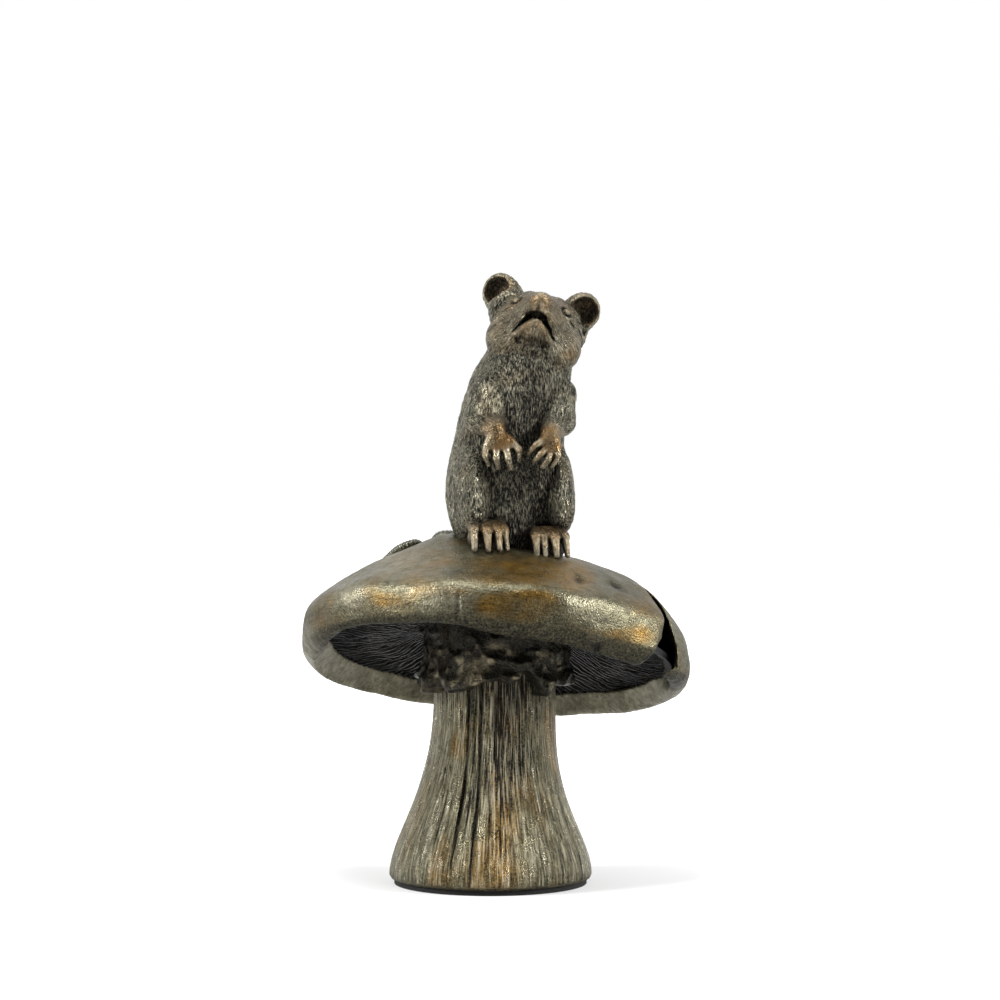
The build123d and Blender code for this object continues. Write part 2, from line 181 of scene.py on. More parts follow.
def noise_of(tree, where, scale, detail):
    inputs = {"Vector": where, "Scale": scale, "Detail": detail}
    return add_node(tree, "ShaderNodeTexNoise", inputs).outputs["Fac"]


def ranged(tree, value, from_low, from_high, low, high, **settings):
    """A value stretched from one range to another."""
    ends = {"From Min": from_low, "From Max": from_high, "To Min": low, "To Max": high}
    return add_node(tree, "ShaderNodeMapRange", {"Value": value, **ends}, **settings).outputs["Result"]


def bumped(tree, height, distance):
    inputs = {"Height": height, "Distance": distance, "Strength": 1.0}
    return add_node(tree, "ShaderNodeBump", inputs).outputs["Normal"]


def own_place(tree):
    return add_node(tree, "ShaderNodeTexCoord").outputs["Object"]


def new_material(name):
    """A new material with its node tree and its shader."""
    material = bpy.data.materials.new(name)
    material.use_nodes = True
    return material, material.node_tree, material.node_tree.nodes["Principled BSDF"]


def patina(name, olive, ochre, dark, gold, roughness, grain_height, grain=0.4, metal=0.82, speckle=0.3,
           strokes=None):
    """Olive bronze that is ochre, darkened or brightened to gold where the mesh's finish values say so.

    The values are ochre, hollow and rub. Hollow darkens it, both for dark patina in grooves and for painted
    shade in creases, under things and inside them. Rub brightens it to gold, both for rubbed edges and for
    painted highlights. Strokes have a closeness, darkness, brightness and depth. They lie along the lie
    attribute, and are as strong as the fur value says.
    """
    material, tree, shader = new_material(name)
    place = own_place(tree)

    def finish(key):
        return add_node(tree, "ShaderNodeAttribute", attribute_name=key).outputs["Fac"]

    def cloud(scale, detail, low, high, where=place, clamp=True):
        return ranged(tree, noise_of(tree, where, scale, detail), 0.32, 0.68, low, high, clamp=clamp)

    def total(first, second, clamp=True):
        return tree_math(tree, "ADD", first, second, clamp)

    def product(first, second, clamp=True):
        return tree_math(tree, "MULTIPLY", first, second, clamp)

    pale = tuple(min(1, channel * 1.75) for channel in olive)
    mottle = colour_mix(tree, cloud(650, 4, 0, 1), olive, pale)
    coat = colour_mix(tree, product(finish("ochre"), cloud(180, 5, 0.35, 1.35)), mottle, ochre)
    # Darker for the hollow value, which holds dark patina and painted shade, and for random specks.
    specks_and_shade = total(finish("hollow"), cloud(2300, 3, -speckle, speckle, clamp=False))
    bright = product(finish("rub_and_highlight"), cloud(900, 4, 0.3, 1.25))
    height = cloud(1000 / grain, 3, 0, grain_height * 0.001, clamp=False)
    if strokes:
        closeness, darkness, brightness, depth = strokes
        lie = add_node(tree, "ShaderNodeAttribute", attribute_name="lie").outputs["Vector"]
        stroke = product(cloud(closeness, 3, -1, 1, lie), finish("fur"), False)
        specks_and_shade = total(specks_and_shade, product(stroke, -darkness, False))
        bright = total(bright, product(stroke, brightness, False))
        height = total(height, product(stroke, depth * 0.001, False), False)
    dullness = cloud(420, 4, roughness - 0.09, roughness + 0.12)
    set_inputs(tree, shader, {
        "Metallic": metal,
        "Base Color": colour_mix(tree, bright, colour_mix(tree, specks_and_shade, coat, dark), gold),
        "Roughness": total(dullness, product(finish("hollow"), 0.25)),
        "Normal": bumped(tree, height, 1.0),
    })
    return material


stem_bronze = patina(
    "stem_bronze", (0.1, 0.09, 0.05), (0.2, 0.118, 0.03), (0.006, 0.0055, 0.004), (0.5, 0.47, 0.36),
    roughness=0.26, grain=0.42, grain_height=0.11, speckle=0.45, strokes=(3.7, 0.5, 0.44, 0.12),
)


def stem_radius(level):
    """The stem's radius at a height."""
    rise = np.maximum(level - stem_bottom - foot_bevel, 0) / flare_height
    return neck_radius + (foot_radius - neck_radius) * np.exp(-((rise / flare_bend) ** 1.8))


def turned_from(turn, middle):
    """How far a direction is turned from another one, which is given in degrees."""
    return np.mod(turn - radians(middle) + pi, 2 * pi) - pi


def closed_of_rows(rings, columns):
    """Quads between rings of one size, with a fan that closes each end."""
    start = np.arange(rings - 1)[:, None] * columns
    column = np.arange(columns)[None, :]
    beside = (column + 1) % columns
    above = start + columns
    quads = np.stack([start + column, start + beside, above + beside, above + column], axis=-1)
    low = np.stack([beside[0], column[0], np.full(columns, rings * columns)], axis=-1)
    last = (rings - 1) * columns
    high = np.stack([last + column[0], last + beside[0], np.full(columns, rings * columns + 1)], axis=-1)
    return quads.reshape(-1, 4), np.concatenate([low, high])


def ring(turn, radius, level):
    """Points round the upright axis."""
    return np.stack([np.cos(turn) * radius, np.sin(turn) * radius, turn * 0 + level], axis=-1)


turn = np.linspace(0, 2 * pi, stem_columns, endpoint=False)
level = np.linspace(stem_bottom + foot_bevel, stem_top, stem_rows)
around, height = np.meshgrid(turn, level)
around, height = around.ravel(), height.ravel()
front = turned_from(around, -90)
round_place = ring(around, comb_radius, height)
sway = 0.35 * lumps(round_place, (7, 7, 14), 3)
fibre_place = ring(around + sway * 0.05, comb_radius, height * 0.055)
fibre = 0.5 * lumps(fibre_place, 0.62, 5) + 0.5 * lumps(fibre_place, 1.3, 6)
crack = spot(lumps(fibre_place, 1.5, 9), 0.09) * soft_step(lumps(round_place, (4, 4, 9), 11), -0.1, 0.45)
deep = np.zeros(len(around))
for angle, low_end, high_end, depth in grooves:
    line = (front - radians(angle) - 0.06 * sway) * stem_radius(height)
    reach = soft_step(height, low_end - 3, low_end + 3) * (1 - soft_step(height, high_end - 3, high_end + 3))
    deep = np.maximum(deep, depth * reach * spot(line, groove_width))
knots = np.zeros(len(around))
for angle, knot_level, size in knot_marks:
    reach = np.hypot((front - radians(angle)) * stem_radius(height), height - knot_level)
    knots += 0.30 * spot(reach - size, 0.28) - 0.35 * spot(reach, size * 0.55)
body_lump = 0.32 * lumps(round_place, (9, 9, 16), 21) + 0.14 * lumps(round_place, (4, 4, 8), 22)
relief = body_lump + 0.13 * fibre - 0.26 * crack - groove_cut * deep + knots
fade = soft_step(height, stem_bottom, stem_bottom + 4)
left_bulge = 0.55 * spot(height - 19, 9) * soft_step(-np.cos(around), 0.2, 1.0)
radius = stem_radius(height) + relief * (0.35 + 0.65 * fade) + left_bulge
shift = neck_shift * soft_step(height, 0, 40)
wall = ring(around, radius, height)
wall[:, 0] += shift
foot_rings = np.concatenate([
    ring(turn, board_radius, board_top),
    ring(turn, board_radius, stem_bottom),
    ring(turn, foot_radius - foot_bevel, stem_bottom),
    ring(turn, foot_radius - foot_bevel * 0.35, stem_bottom + foot_bevel * 0.3),
])
crown_rings = ring(turn, neck_radius * 0.7, stem_top)
poles = np.array([[0, 0, board_top], [0, 0, stem_top]])
quads, fans = closed_of_rows(stem_rows + 5, stem_columns)
edge = np.zeros(len(foot_rings))
top = np.ones(len(crown_rings))
stripe = spot(front - radians(7) - 0.1 * sway, 0.20) * (0.75 + 0.25 * lumps(round_place, (3, 3, 8), 31))
warm_cloud = lumps(round_place, (5, 5, 12), 33) + 0.4 * lumps(round_place, (2, 2, 5), 34)
warm = np.clip(0.95 * stripe + 0.75 * soft_step(warm_cloud, 0.05, 0.7), 0, 1)
# Painted shade: the stem darkens towards its top, under the cap and the veil.
shade_top = soft_step(height, 36, 47)
# Painted dark reflection: a dark band down the stem's front, where the dim room in front would be mirrored.
front_dark_reflection = 0.62 * spot(front - 0.16, 0.3) * soft_step(height, 12, 26)
shade = np.clip(0.9 * deep + front_dark_reflection + 0.75 * crack - 0.35 * fibre + 0.14 + 0.65 * shade_top, 0, 1)
# Rubbed fibre crests that also serve as painted glints; they fade out in the painted shade under the cap.
rub_and_glint = np.clip(0.45 * fibre + 0.03, 0, 1) * (1 - shade_top)
# Painted shade: the rings under the foot are set darker, and the top inside the cap fully dark.
finishes = {
    "ochre": np.concatenate([edge, warm, top * 0, [0, 0]]),
    "hollow": np.concatenate([edge + 0.6, shade, top, [1, 1]]),
    "rub_and_highlight": np.concatenate([edge, rub_and_glint, top * 0, [0, 0]]),
    "fur": np.concatenate([edge, 1 - 0.7 * np.clip(0.9 * deep, 0, 1), top * 0, [0, 0]]),
    "lie": np.concatenate([foot_rings, fibre_place, crown_rings, poles]),
}
points = np.concatenate([foot_rings, wall, crown_rings, poles])
stem = cast_piece("stem", points, [quads, fans], finishes, stem_bronze)
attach(stem, "root")
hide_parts("stem_casting")

# Under the foot a fibre board is let into the casting, and black felt is glued below it. Both keep the
# shape of their solids.


def speckled(name, scale, detail, dark, light, roughness):
    """A material with specks from a dark colour to a light one, and its tree, shader and specks."""
    material, tree, shader = new_material(name)
    specks = noise_of(tree, own_place(tree), scale, detail)
    set_inputs(tree, shader, {"Base Color": colour_mix(tree, specks, dark, light), "Roughness": roughness})
    return material, tree, shader, specks


def dress(solids, material):
    """Gives solids that keep their shape their material."""
    for solid in solids:
        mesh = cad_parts[solid].data
        mesh.materials.clear()
        mesh.materials.append(material)


felt, tree, shader, nap = speckled("black_felt", 3000, 2.0, (0.004, 0.004, 0.004), (0.03, 0.03, 0.028), 0.95)
set_inputs(tree, shader, {"Normal": bumped(tree, nap, 0.0002)})
board = speckled("fibre_board", 1400, 6.0, (0.16, 0.11, 0.07), (0.34, 0.25, 0.16), 0.85)[0]
dress(["felt_pad"], felt)
dress(["base_disc"], board)

# The cap is one hollow bronze casting with a rolled lip, pinned to the top of the stem and leaning back and
# to its right. Its right side has split, and the front flap stands out over the part behind. The patina is
# rubbed to ochre.
cap_place = np.array([1.1, 1.4, 47.2])
cap_back, cap_side = radians(16.0), radians(5.0)
cap_radius = 41.3
cap_rise = 23.2
cap_wall = 2.4
rim_wall = 1.4
lip_drop = 3.4
lip_curl = 2.2
lip_thickness = 3.1
lip_roll = 3.3
undercut_top = 9.5
undercut_share = 0.27
cap_step = 0.51
cap_margin = 2.5
split_turn = -28.0
split_top = 15.8
split_inner = 20.0
flap_lift = 0.9
rear_sink = 1.3
# Where the lip hangs lower or higher: its direction, the cosines where that starts and is full, and the drop.
lip_falls = ((162, 0.45, 0.97, 1.8), (118, 0.8, 0.97, -0.5), (-131, 0.72, 0.95, -1.9), (-66, 0.84, 0.98, 1.1))
# The crown is fuller in two places: how far across and back they lie, their size and how high they swell.
crown_lumps = ((-14, -1, 9.5, 1.9), (-12, -12, 9.0, 2.6))
# The split at each level, from the bottom up: the front flap's edge and the edge of the part behind.
split_marks = np.array((
    (-4.6, -8.2, -6.0),
    (-2.4, -7.8, 3.2),
    (0.0, -6.8, 6.0),
    (4.5, -4.9, 6.6),
    (9.0, -2.4, 5.7),
    (13.0, 0.2, 4.0),
    (15.5, 2.2, 2.4),
))
# Pits and scratches: their middle, size, depth, length and direction.
cap_marks = (
    ((18.4, -26.2, 66.1), 1.15, 1.0, 1.0, (1, 0, 0.1)),
    ((26.2, -20.0, 64.4), 0.9, 0.6, 2.6, (0.8, 0, -0.55)),
    ((35.5, -22.3, 48.7), 0.55, 0.6, 1.0, (1, 0, 0)),
    ((21.6, -30.0, 52.0), 0.8, 0.6, 1.0, (1, 0, 0)),
    ((-30.6, -24.0, 59.0), 0.45, 0.5, 3.6, (0.2, 0, -1)),
    ((-6.5, -35.8, 60.5), 0.35, 0.45, 6.5, (0.05, 0, 1)),
)
# Ochre patches on the front: their middle across and up, half width and half height, and strength.
ochre_patches = (
    (4.5, 60.1, 9.0, 3.4, 1.5),
    (14.9, 64.8, 6.0, 2.0, 1.0),
    (-20.9, 62.5, 6.5, 1.5, 0.9),
    (26.8, 53.4, 7.0, 2.4, 1.0),
    (6.0, 68.0, 13.0, 3.0, 0.9),
    (-14.0, 69.5, 9.0, 3.0, 0.55),
    (-3.0, 56.4, 8.0, 1.5, 0.7),
    (15.0, 54.5, 6.0, 1.6, 0.6),
    (-9.5, 63.4, 7.0, 1.6, 0.5),
    (-33.0, 56.0, 5.0, 3.0, 0.5),
)
# Painted highlights on the front: their middle across and up, size, strength, and stretch and turn.
highlight_patches = (
    ((-20.0, 69.0), 7.0, 0.8, ((1, 0), (0, 1.6))),
    ((-28.9, 62.9), 3.2, 1.2, ((1, 0), (0, 1.3))),
    ((-9.5, 62.4), 7.0, 0.5, ((1, 0), (0, 2.2))),
    ((19.5, 60.3), 6.5, 0.42, ((0.8, -0.6), (1.2, 1.6))),
)


def to_cap(points):
    """Points in the cap's own frame, with the rim level."""
    x, y, z = (points - cap_place).T
    y, z = y * cos(cap_back) - z * sin(cap_back), y * sin(cap_back) + z * cos(cap_back)
    x, z = x * cos(cap_side) - z * sin(cap_side), x * sin(cap_side) + z * cos(cap_side)
    return np.stack([x, y, z], axis=-1)


def from_cap(points):
    x, y, z = points.T
    x, z = x * cos(cap_side) + z * sin(cap_side), -x * sin(cap_side) + z * cos(cap_side)
    y, z = y * cos(cap_back) + z * sin(cap_back), -y * sin(cap_back) + z * cos(cap_back)
    return np.stack([x, y, z], axis=-1) + cap_place


def bulb(place, sizes):
    """About how far a point lies outside an ellipsoid."""
    sizes = np.array(sizes)
    reach = np.linalg.norm(place / sizes, axis=-1) + 1e-9
    slope = np.linalg.norm(place / sizes**2, axis=-1) + 1e-9
    return reach * (reach - 1) / slope


def join(first, second, blend):
    """The union of two fields with a fillet."""
    share = np.clip(0.5 + 0.5 * (second - first) / blend, 0, 1)
    return second * (1 - share) + first * share - blend * share * (1 - share)


def carve(first, second, blend):
    """What two fields share, with a rounded edge."""
    return -join(-first, -second, blend)


def rim_lumps(turn, size, seed):
    """A smooth random value that changes only round the rim."""
    return lumps(ring(turn, 40, 0), size, seed)


def crown_swell(place, turn):
    """How far the modelling of the wax lifts the cap's skin at each point, in millimetres."""
    x, y, z = place.T
    reach = np.hypot(x, y)
    front_left = soft_step(np.cos(turned_from(turn, -115)), -0.1, 0.8)
    front_only = soft_step(np.cos(turned_from(turn, -100)), 0.2, 0.8)
    left_rim = soft_step(np.cos(turned_from(turn, 180)), 0.7, 0.98) * (1 - soft_step(z, 4, 9))
    shoulder = spot(z - 6.5, 3.2) * soft_step(reach, 28, 37) * (0.1 + 0.5 * front_left)
    hollow = spot(z - 13.5, 4.0) * front_only * soft_step(reach, 20, 30)
    flanks = soft_step(z, 4, 12) * (1 - soft_step(z, 17.5, 22.5)) * (1 - front_only)
    flanks = flanks * (1.25 - 0.35 * soft_step(np.cos(turn), -0.2, 0.8))
    swell = 0.55 * lumps(place, 15, 41) + 0.28 * lumps(place, 7, 42) + 0.08 * lumps(place, 3, 43)
    swell += shoulder - 0.8 * hollow + flanks + 0.5 * (1 - soft_step(z, 6, 12)) + 0.8 * left_rim
    for across, back, size, rise in crown_lumps:
        swell += rise * spot(np.hypot(x - across, y - back), size) * soft_step(z, 10, 14)
    return swell


def dome(reach, z, radius, rise):
    """About how far a point lies outside a dome with upright walls below its rim."""
    return bulb(np.stack([reach, reach * 0, np.maximum(z, 0)], axis=-1), (radius, radius, rise))


def cap_field(points, parts=False):
    """About how far a point lies outside the cap's casting, or outside its skin and outside the split."""
    place = to_cap(points)
    x, y, z = place.T
    reach = np.hypot(x, y)
    turn = np.arctan2(y, x)
    flap = turned_from(turn, split_turn) * cap_radius
    front_edge, rear_edge = [np.interp(z, split_marks[:, 0], edge) for edge in split_marks.T[1:]]
    lift = flap_lift * soft_step(flap - front_edge, -9, -0.5) * (flap < front_edge + 2)
    lift = lift * soft_step(14 - z, 0, 8)
    sink = rear_sink * (1 - soft_step(flap - rear_edge, 0.0, 10)) * (flap > rear_edge - 2)
    sink = sink * soft_step(13 - z, 0, 7)
    wave = 0.55 * rim_lumps(turn, 13, 44) + 0.5 * rim_lumps(turn, 5, 45) * soft_step(y, -10, 20)
    offset = crown_swell(place, turn) + lift - sink
    low = lip_drop + wave + 0.6 * lift
    for middle, first, full, drop in lip_falls:
        low += drop * soft_step(np.cos(turned_from(turn, middle)), first, full)
    below = np.clip(-z / lip_drop, 0, 1.4)
    tucked = np.clip(undercut_top + 2.2 * rim_lumps(turn, 15, 48) - z, 0, 11)
    tucked = undercut_share * tucked**2 / (tucked + 5.0)
    tucked = tucked * soft_step(np.cos(turned_from(turn, -112)), 0.1, 0.8)
    outside = dome(reach + lip_curl * below**2 + tucked, z, cap_radius, cap_rise) - offset
    inside = dome(reach, z, cap_radius - lip_curl - rim_wall, cap_rise - cap_wall)
    inside = inside - np.clip(offset, -0.9, 0.9)
    rear = soft_step(y + 0.45 * np.clip(-x - 10, 0, 30), -2, 12)
    roll = 1 - np.clip(np.abs(z - 0.8 + 0.5 * wave) / 4.2, 0, 1)
    inside += (lip_thickness - rim_wall) * np.clip(below, 0, 1) * 0.55 * (1 - rear) + lip_roll * roll * rear
    shell = carve(carve(outside, -inside, 1.0), -(z + low), 1.6)
    wobble = 0.35 * lumps(place, 3.5, 47)
    buried = np.clip(-outside, 0, 4)
    gap = np.maximum(front_edge - flap + wobble, flap - rear_edge - 2.4 * buried + wobble)
    gap = np.maximum(gap, np.maximum(z - split_top, split_inner - reach))
    if parts:
        return outside, gap
    return carve(shell, -gap, 0.9)


def without_specks(points, faces):
    """The same mesh without loose specks of a few faces, which sampling a thin edge can leave."""
    sides = [np.stack([group, np.roll(group, 1, axis=1)], axis=-1).reshape(-1, 2) for group in faces]
    sides = np.concatenate(sides)
    mark = np.arange(len(points))
    # Corners take the lowest number beside them. Only a speck has one number all over after so few rounds.
    for _ in range(4):
        for first, second in (sides.T, sides.T[::-1]):
            np.minimum.at(mark, first, mark[second])
    between = sides[mark[sides[:, 0]] != mark[sides[:, 1]]]
    wide = np.zeros(len(points), dtype=bool)
    wide[mark[between.ravel()]] = True
    kept = wide[mark]
    place = np.cumsum(kept) - 1
    return points[kept], [place[group[kept[group[:, 0]]]] for group in faces]


def skin_of(field, low, high, step):
    """Points and faces of a field's surface. Only cells near the surface are filled in finely."""
    low = np.array(low, dtype=np.float64)
    share = 4
    counts = np.ceil((np.array(high) - low) / (step * share)).astype(int)
    cells = np.stack(np.meshgrid(*map(np.arange, counts), indexing="ij"), axis=-1).reshape(-1, 3)
    rough = np.concatenate([field(low + (part + 0.5) * step * share) for part in np.array_split(cells, 8)])
    near = np.abs(rough) < step * share * 1.25
    block = rough.reshape(counts)
    for axis in range(3):
        block = np.repeat(block, share, axis=axis)
    block = np.ascontiguousarray(block, dtype=np.float32)
    inner = np.stack(np.meshgrid(*[np.arange(share)] * 3, indexing="ij"), axis=-1).reshape(-1, 3)
    for part in np.array_split(cells[near], max(1, int(near.sum()) // 6000)):
        fine = (part[:, None, :] * share + inner[None]).reshape(-1, 3)
        block[tuple(fine.T)] = field(low + (fine + 0.5) * step)
    grid = openvdb.FloatGrid(float(step * share))
    grid.copyFromArray(block)
    corners, triangles, quads = grid.convertToPolygons(isovalue=0.0, adaptivity=0.0)
    triangles = np.array(triangles, dtype=np.int64).reshape(-1, 3)
    quads = np.array(quads, dtype=np.int64).reshape(-1, 4)
    return without_specks(low + (np.array(corners) + 0.5) * step, [triangles, quads])


def outward(points, faces):
    """The same faces, turned so that they all look out of the solid."""
    volume = 0
    for group in faces:
        if len(group):
            first, second, third = points[group[:, 0]], points[group[:, 1]], points[group[:, 2]]
            volume += np.einsum("ij,ij->i", first, np.cross(second, third)).sum()
            if group.shape[1] == 4:
                fourth = points[group[:, 3]]
                volume += np.einsum("ij,ij->i", first, np.cross(third, fourth)).sum()
    return faces if volume > 0 else [group[:, ::-1] for group in faces]


def slope_of(field, points, reach=0.05):
    """The outward direction of a field's surface."""
    steps = np.eye(3) * reach
    rise = np.stack([field(points + step) - field(points - step) for step in steps], axis=-1)
    return rise / (np.linalg.norm(rise, axis=-1, keepdims=True) + 1e-9)


low, high = [np.array(corner) * 1000 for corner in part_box("cap_shell")]
points, faces = skin_of(cap_field, low - cap_margin, high + cap_margin, cap_step)
faces = outward(points, faces)
normals = slope_of(cap_field, points)
dents = np.zeros(len(points))
dark_dents = np.zeros(len(points))
for middle, size, depth, length, along in cap_marks:
    along = np.array(along) / np.linalg.norm(along)
    apart = points - np.array(middle)
    apart[:, 1] *= 0.35
    line = apart @ along
    across = np.linalg.norm(apart - line[:, None] * along, axis=-1)
    mark = np.exp(-((across / size) ** 2) - (line / (size * length)) ** 2)
    dents += depth * mark
    dark_dents = np.maximum(dark_dents, mark)
place = to_cap(points)
reach = np.hypot(place[:, 0], place[:, 1])
turn = np.arctan2(place[:, 1], place[:, 0])
rise = place[:, 2]
points = points - normals * (dents - 0.05 * lumps(points, 0.9, 52))[:, None]
cap_up = from_cap(np.array([[0, 0, 1.0]]))[0] - cap_place
under = soft_step(-normals @ cap_up, -0.05, 0.55)
# Painted shade on the inner wall of the cap, on faces that look in towards its axis above the rim.
inner_shade = soft_step(-np.einsum("ij,ij->i", normals[:, :2], place[:, :2]) / (reach + 1e-6), 0.1, 0.6)
inner_shade *= soft_step(rise, 0.0, 2.5)
# Painted light: the inner face of the lip at the back is brightened with the rub, as if lit from in front.
lip_light = soft_step(points[:, 1] + 0.4 * np.clip(-points[:, 0] - 12, 0, 30), -8, 8)
lip_light *= 1 - soft_step(rise, 0.6, 2.6)
lip_light *= 0.42 * (0.55 + 0.6 * soft_step(lumps(points, 2.4, 59), -0.5, 0.5))
skin_away, gap_away = cap_field(points, parts=True)
# Painted shade on the inner faces of the split, seen through the gap.
split_shade = soft_step(-skin_away, 0.45, 1.1) * (np.abs(gap_away) < 1.8) * (rise > -3.2)
warm = 0.45 * soft_step(lumps(points, (10, 10, 7), 53) + 0.5 * lumps(points, (4, 4, 3), 54), -0.1, 0.8)
drift = 2.5 * lumps(points, 6, 55)
for across, up, wide, high, amount in ochre_patches:
    apart = np.hypot((points[:, 0] - across + drift) / wide, (points[:, 2] - up + 0.6 * drift) / high)
    warm += amount * soft_step(1.25 - apart, 0, 0.75) * (points[:, 1] < 8)
# Painted highlights: bright patches on the front of the cap, which also thin out the ochre.
painted_highlight = np.zeros(len(points))
for middle, size, amount, stretch in highlight_patches:
    apart = (points[:, ::2] - np.array(middle)) @ np.array(stretch).T
    painted_highlight += amount * spot(np.hypot(apart[:, 0], apart[:, 1]), size)
painted_highlight = np.clip(painted_highlight * (0.85 + 0.4 * lumps(points, 1.6, 58)), 0, 1.2) * (points[:, 1] < 5)
warm = np.clip(warm * (1 - 0.5 * painted_highlight), 0, 1)
# Dark patina in pits and scratches, with painted shade on the inner wall, in the split, on faces that look
# down at the front, and in the band below the shoulder except where the lip is painted light.
shade = 0.95 * dark_dents + 0.9 * inner_shade + split_shade + 0.45 * under * (points[:, 1] < 0) + 0.06
shade += 0.2 * (1 - soft_step(rise, 3, 7)) * (1 - lip_light)
edge_rub = 0.12 * soft_step(2.5 - np.abs(rise - 6.5), 0, 2.5) * (1 - warm)
# The rub holds the rubbed shoulder ridge, the painted highlights and the painted light on the lip.
finishes = {
    "ochre": warm * (1 - under),
    "hollow": np.clip(shade, 0, 1),
    "rub_and_highlight": np.clip(edge_rub + 0.6 * painted_highlight + lip_light, 0, 1),
    "fur": 1 - under,
    "lie": np.stack([turn * 12, rise * 3.0, reach * 0.6], axis=-1),
}
cap_bronze = patina(
    "cap_bronze", (0.09, 0.082, 0.048), (0.20, 0.112, 0.018), (0.005, 0.0045, 0.0035), (0.42, 0.395, 0.29),
    roughness=0.33, grain=0.42, grain_height=0.055, speckle=0.32, strokes=(1.1, 0.13, 0.1, 0.006),
)
cap = cast_piece("cap", points, faces, finishes, cap_bronze)
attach(cap, "root")
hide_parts("cap_shell")

# The cap is closed below by a plate of gills, cast in one piece. The blades are thin and wavy, run from the
# stem to the lip and are nearly black, with painted shade deepening towards their roots and a faint line
# along each free edge that is rubbed and brightened as a painted highlight.
gill_sizes = {
    "Gill count": 116,
    "Inner radius": 14.6,
    "Outer radius": 36.2,
    "Blade depth": 3.2,
    "Blade thickness": 0.56,
    "Root level": 9.0,
    "Edge level": 0.9,
    "Sideways wave": 2.6,
    "Seed": 7.0,
}
gill_columns = 28
plate_columns = 96
plate_inner = 10.0
plate_outer = gill_sizes["Outer radius"] + 1.6
plate_thickness = 1.3
# The plate's section, round its edge: the radius of each corner and its height over the underside.
plate_section = (
    (plate_inner, 0),
    (plate_outer, 0),
    (plate_outer, plate_thickness),
    (plate_inner, plate_thickness),
)
gill_bronze = patina(
    "gill_bronze", (0.014, 0.0135, 0.011), (0.03, 0.02, 0.009), (0.0006, 0.0006, 0.0005), (0.32, 0.31, 0.26),
    roughness=0.34, grain_height=0.05, metal=0.3,
)


def gill_level(reach):
    """The height of the plate's underside at a radius, in the cap's frame."""
    root, edge = gill_sizes["Root level"], gill_sizes["Edge level"]
    return edge + (root - edge) * (plate_outer - reach) / (plate_outer - plate_inner)


plate_turn = np.linspace(0, 2 * pi, plate_columns, endpoint=False)
plate_corners = np.concatenate([
    ring(plate_turn, radius, gill_level(radius) + above)
    for radius, above in plate_section
])
plate_quads = []
for band, step in itertools.product(range(4), range(plate_columns)):
    low, high, after = band * plate_columns, (band + 1) % 4 * plate_columns, (step + 1) % plate_columns
    plate_quads.append((low + step, high + step, high + after, low + after))
plate_mesh = bpy.data.meshes.new("gill_plate_blank")
plate_mesh.from_pydata([tuple(corner) for corner in plate_corners], [], plate_quads)
plate_mesh.materials.append(gill_bronze)
# Painted shade: the plate between the blades' roots is fully dark.
plate_dark = plate_mesh.attributes.new("hollow", "FLOAT", "POINT")
plate_dark.data.foreach_set("value", np.ones(len(plate_corners), dtype=np.float32))
gills = bpy.data.objects.new("gills", plate_mesh)
bpy.context.collection.objects.link(gills)


def node_tree(name, sizes):
    """An empty Geometry Nodes tree with a mesh in and out, and named number inputs."""
    tree = bpy.data.node_groups.new(name, "GeometryNodeTree")
    tree.interface.new_socket("Geometry", in_out="INPUT", socket_type="NodeSocketGeometry")
    for key, value in sizes.items():
        kind = "NodeSocketInt" if isinstance(value, int) else "NodeSocketFloat"
        tree.interface.new_socket(key, in_out="INPUT", socket_type=kind)
    tree.interface.new_socket("Geometry", in_out="OUTPUT", socket_type="NodeSocketGeometry")
    return tree, tree.nodes.new("NodeGroupInput"), tree.nodes.new("NodeGroupOutput")


def plain_mesh(piece, tree, sizes, move=None):
    """What a Geometry Nodes tree makes of a piece, as a plain mesh in metres. Move changes its corners."""
    modifier = piece.modifiers.new(tree.name, "NODES")
    modifier.node_group = tree
    for item in tree.interface.items_tree:
        if item.item_type == "SOCKET" and item.in_out == "INPUT" and item.name in sizes:
            modifier[item.identifier] = sizes[item.name]
    graph = bpy.context.evaluated_depsgraph_get()
    graph.update()
    mesh = bpy.data.meshes.new_from_object(piece.evaluated_get(graph))
    piece.modifiers.remove(modifier)
    corners = np.empty(len(mesh.vertices) * 3, dtype=np.float32)
    mesh.vertices.foreach_get("co", corners)
    corners = corners.reshape(-1, 3).astype(np.float64)
    if move:
        corners = move(corners)
    mesh.vertices.foreach_set("co", (corners * 0.001).astype(np.float32).ravel())
    mesh.update()
    return mesh


def stored(tree, geometry, key, value):
    """The geometry with a finish value on its points."""
    inputs = {"Geometry": geometry, "Name": key, "Value": value}
    settings = {"data_type": "FLOAT", "domain": "POINT"}
    return add_node(tree, "GeometryNodeStoreNamedAttribute", inputs, **settings).outputs[0]


tree, given, result = node_tree("gill_tree", gill_sizes)
size = given.outputs


def calc(operation, first, second=0.0):
    return tree_math(tree, operation, first, second)


def vector_math(operation, inputs):
    return add_node(tree, "ShaderNodeVectorMath", inputs, operation=operation).outputs


def offset_of(noise, strength):
    """An offset from a noise's colour, with its middle at nothing."""
    centred = vector_math("SUBTRACT", {0: noise.outputs["Color"], 1: (0.5, 0.5, 0.5)})[0]
    return vector_math("SCALE", {0: centred, "Scale": strength})[0]


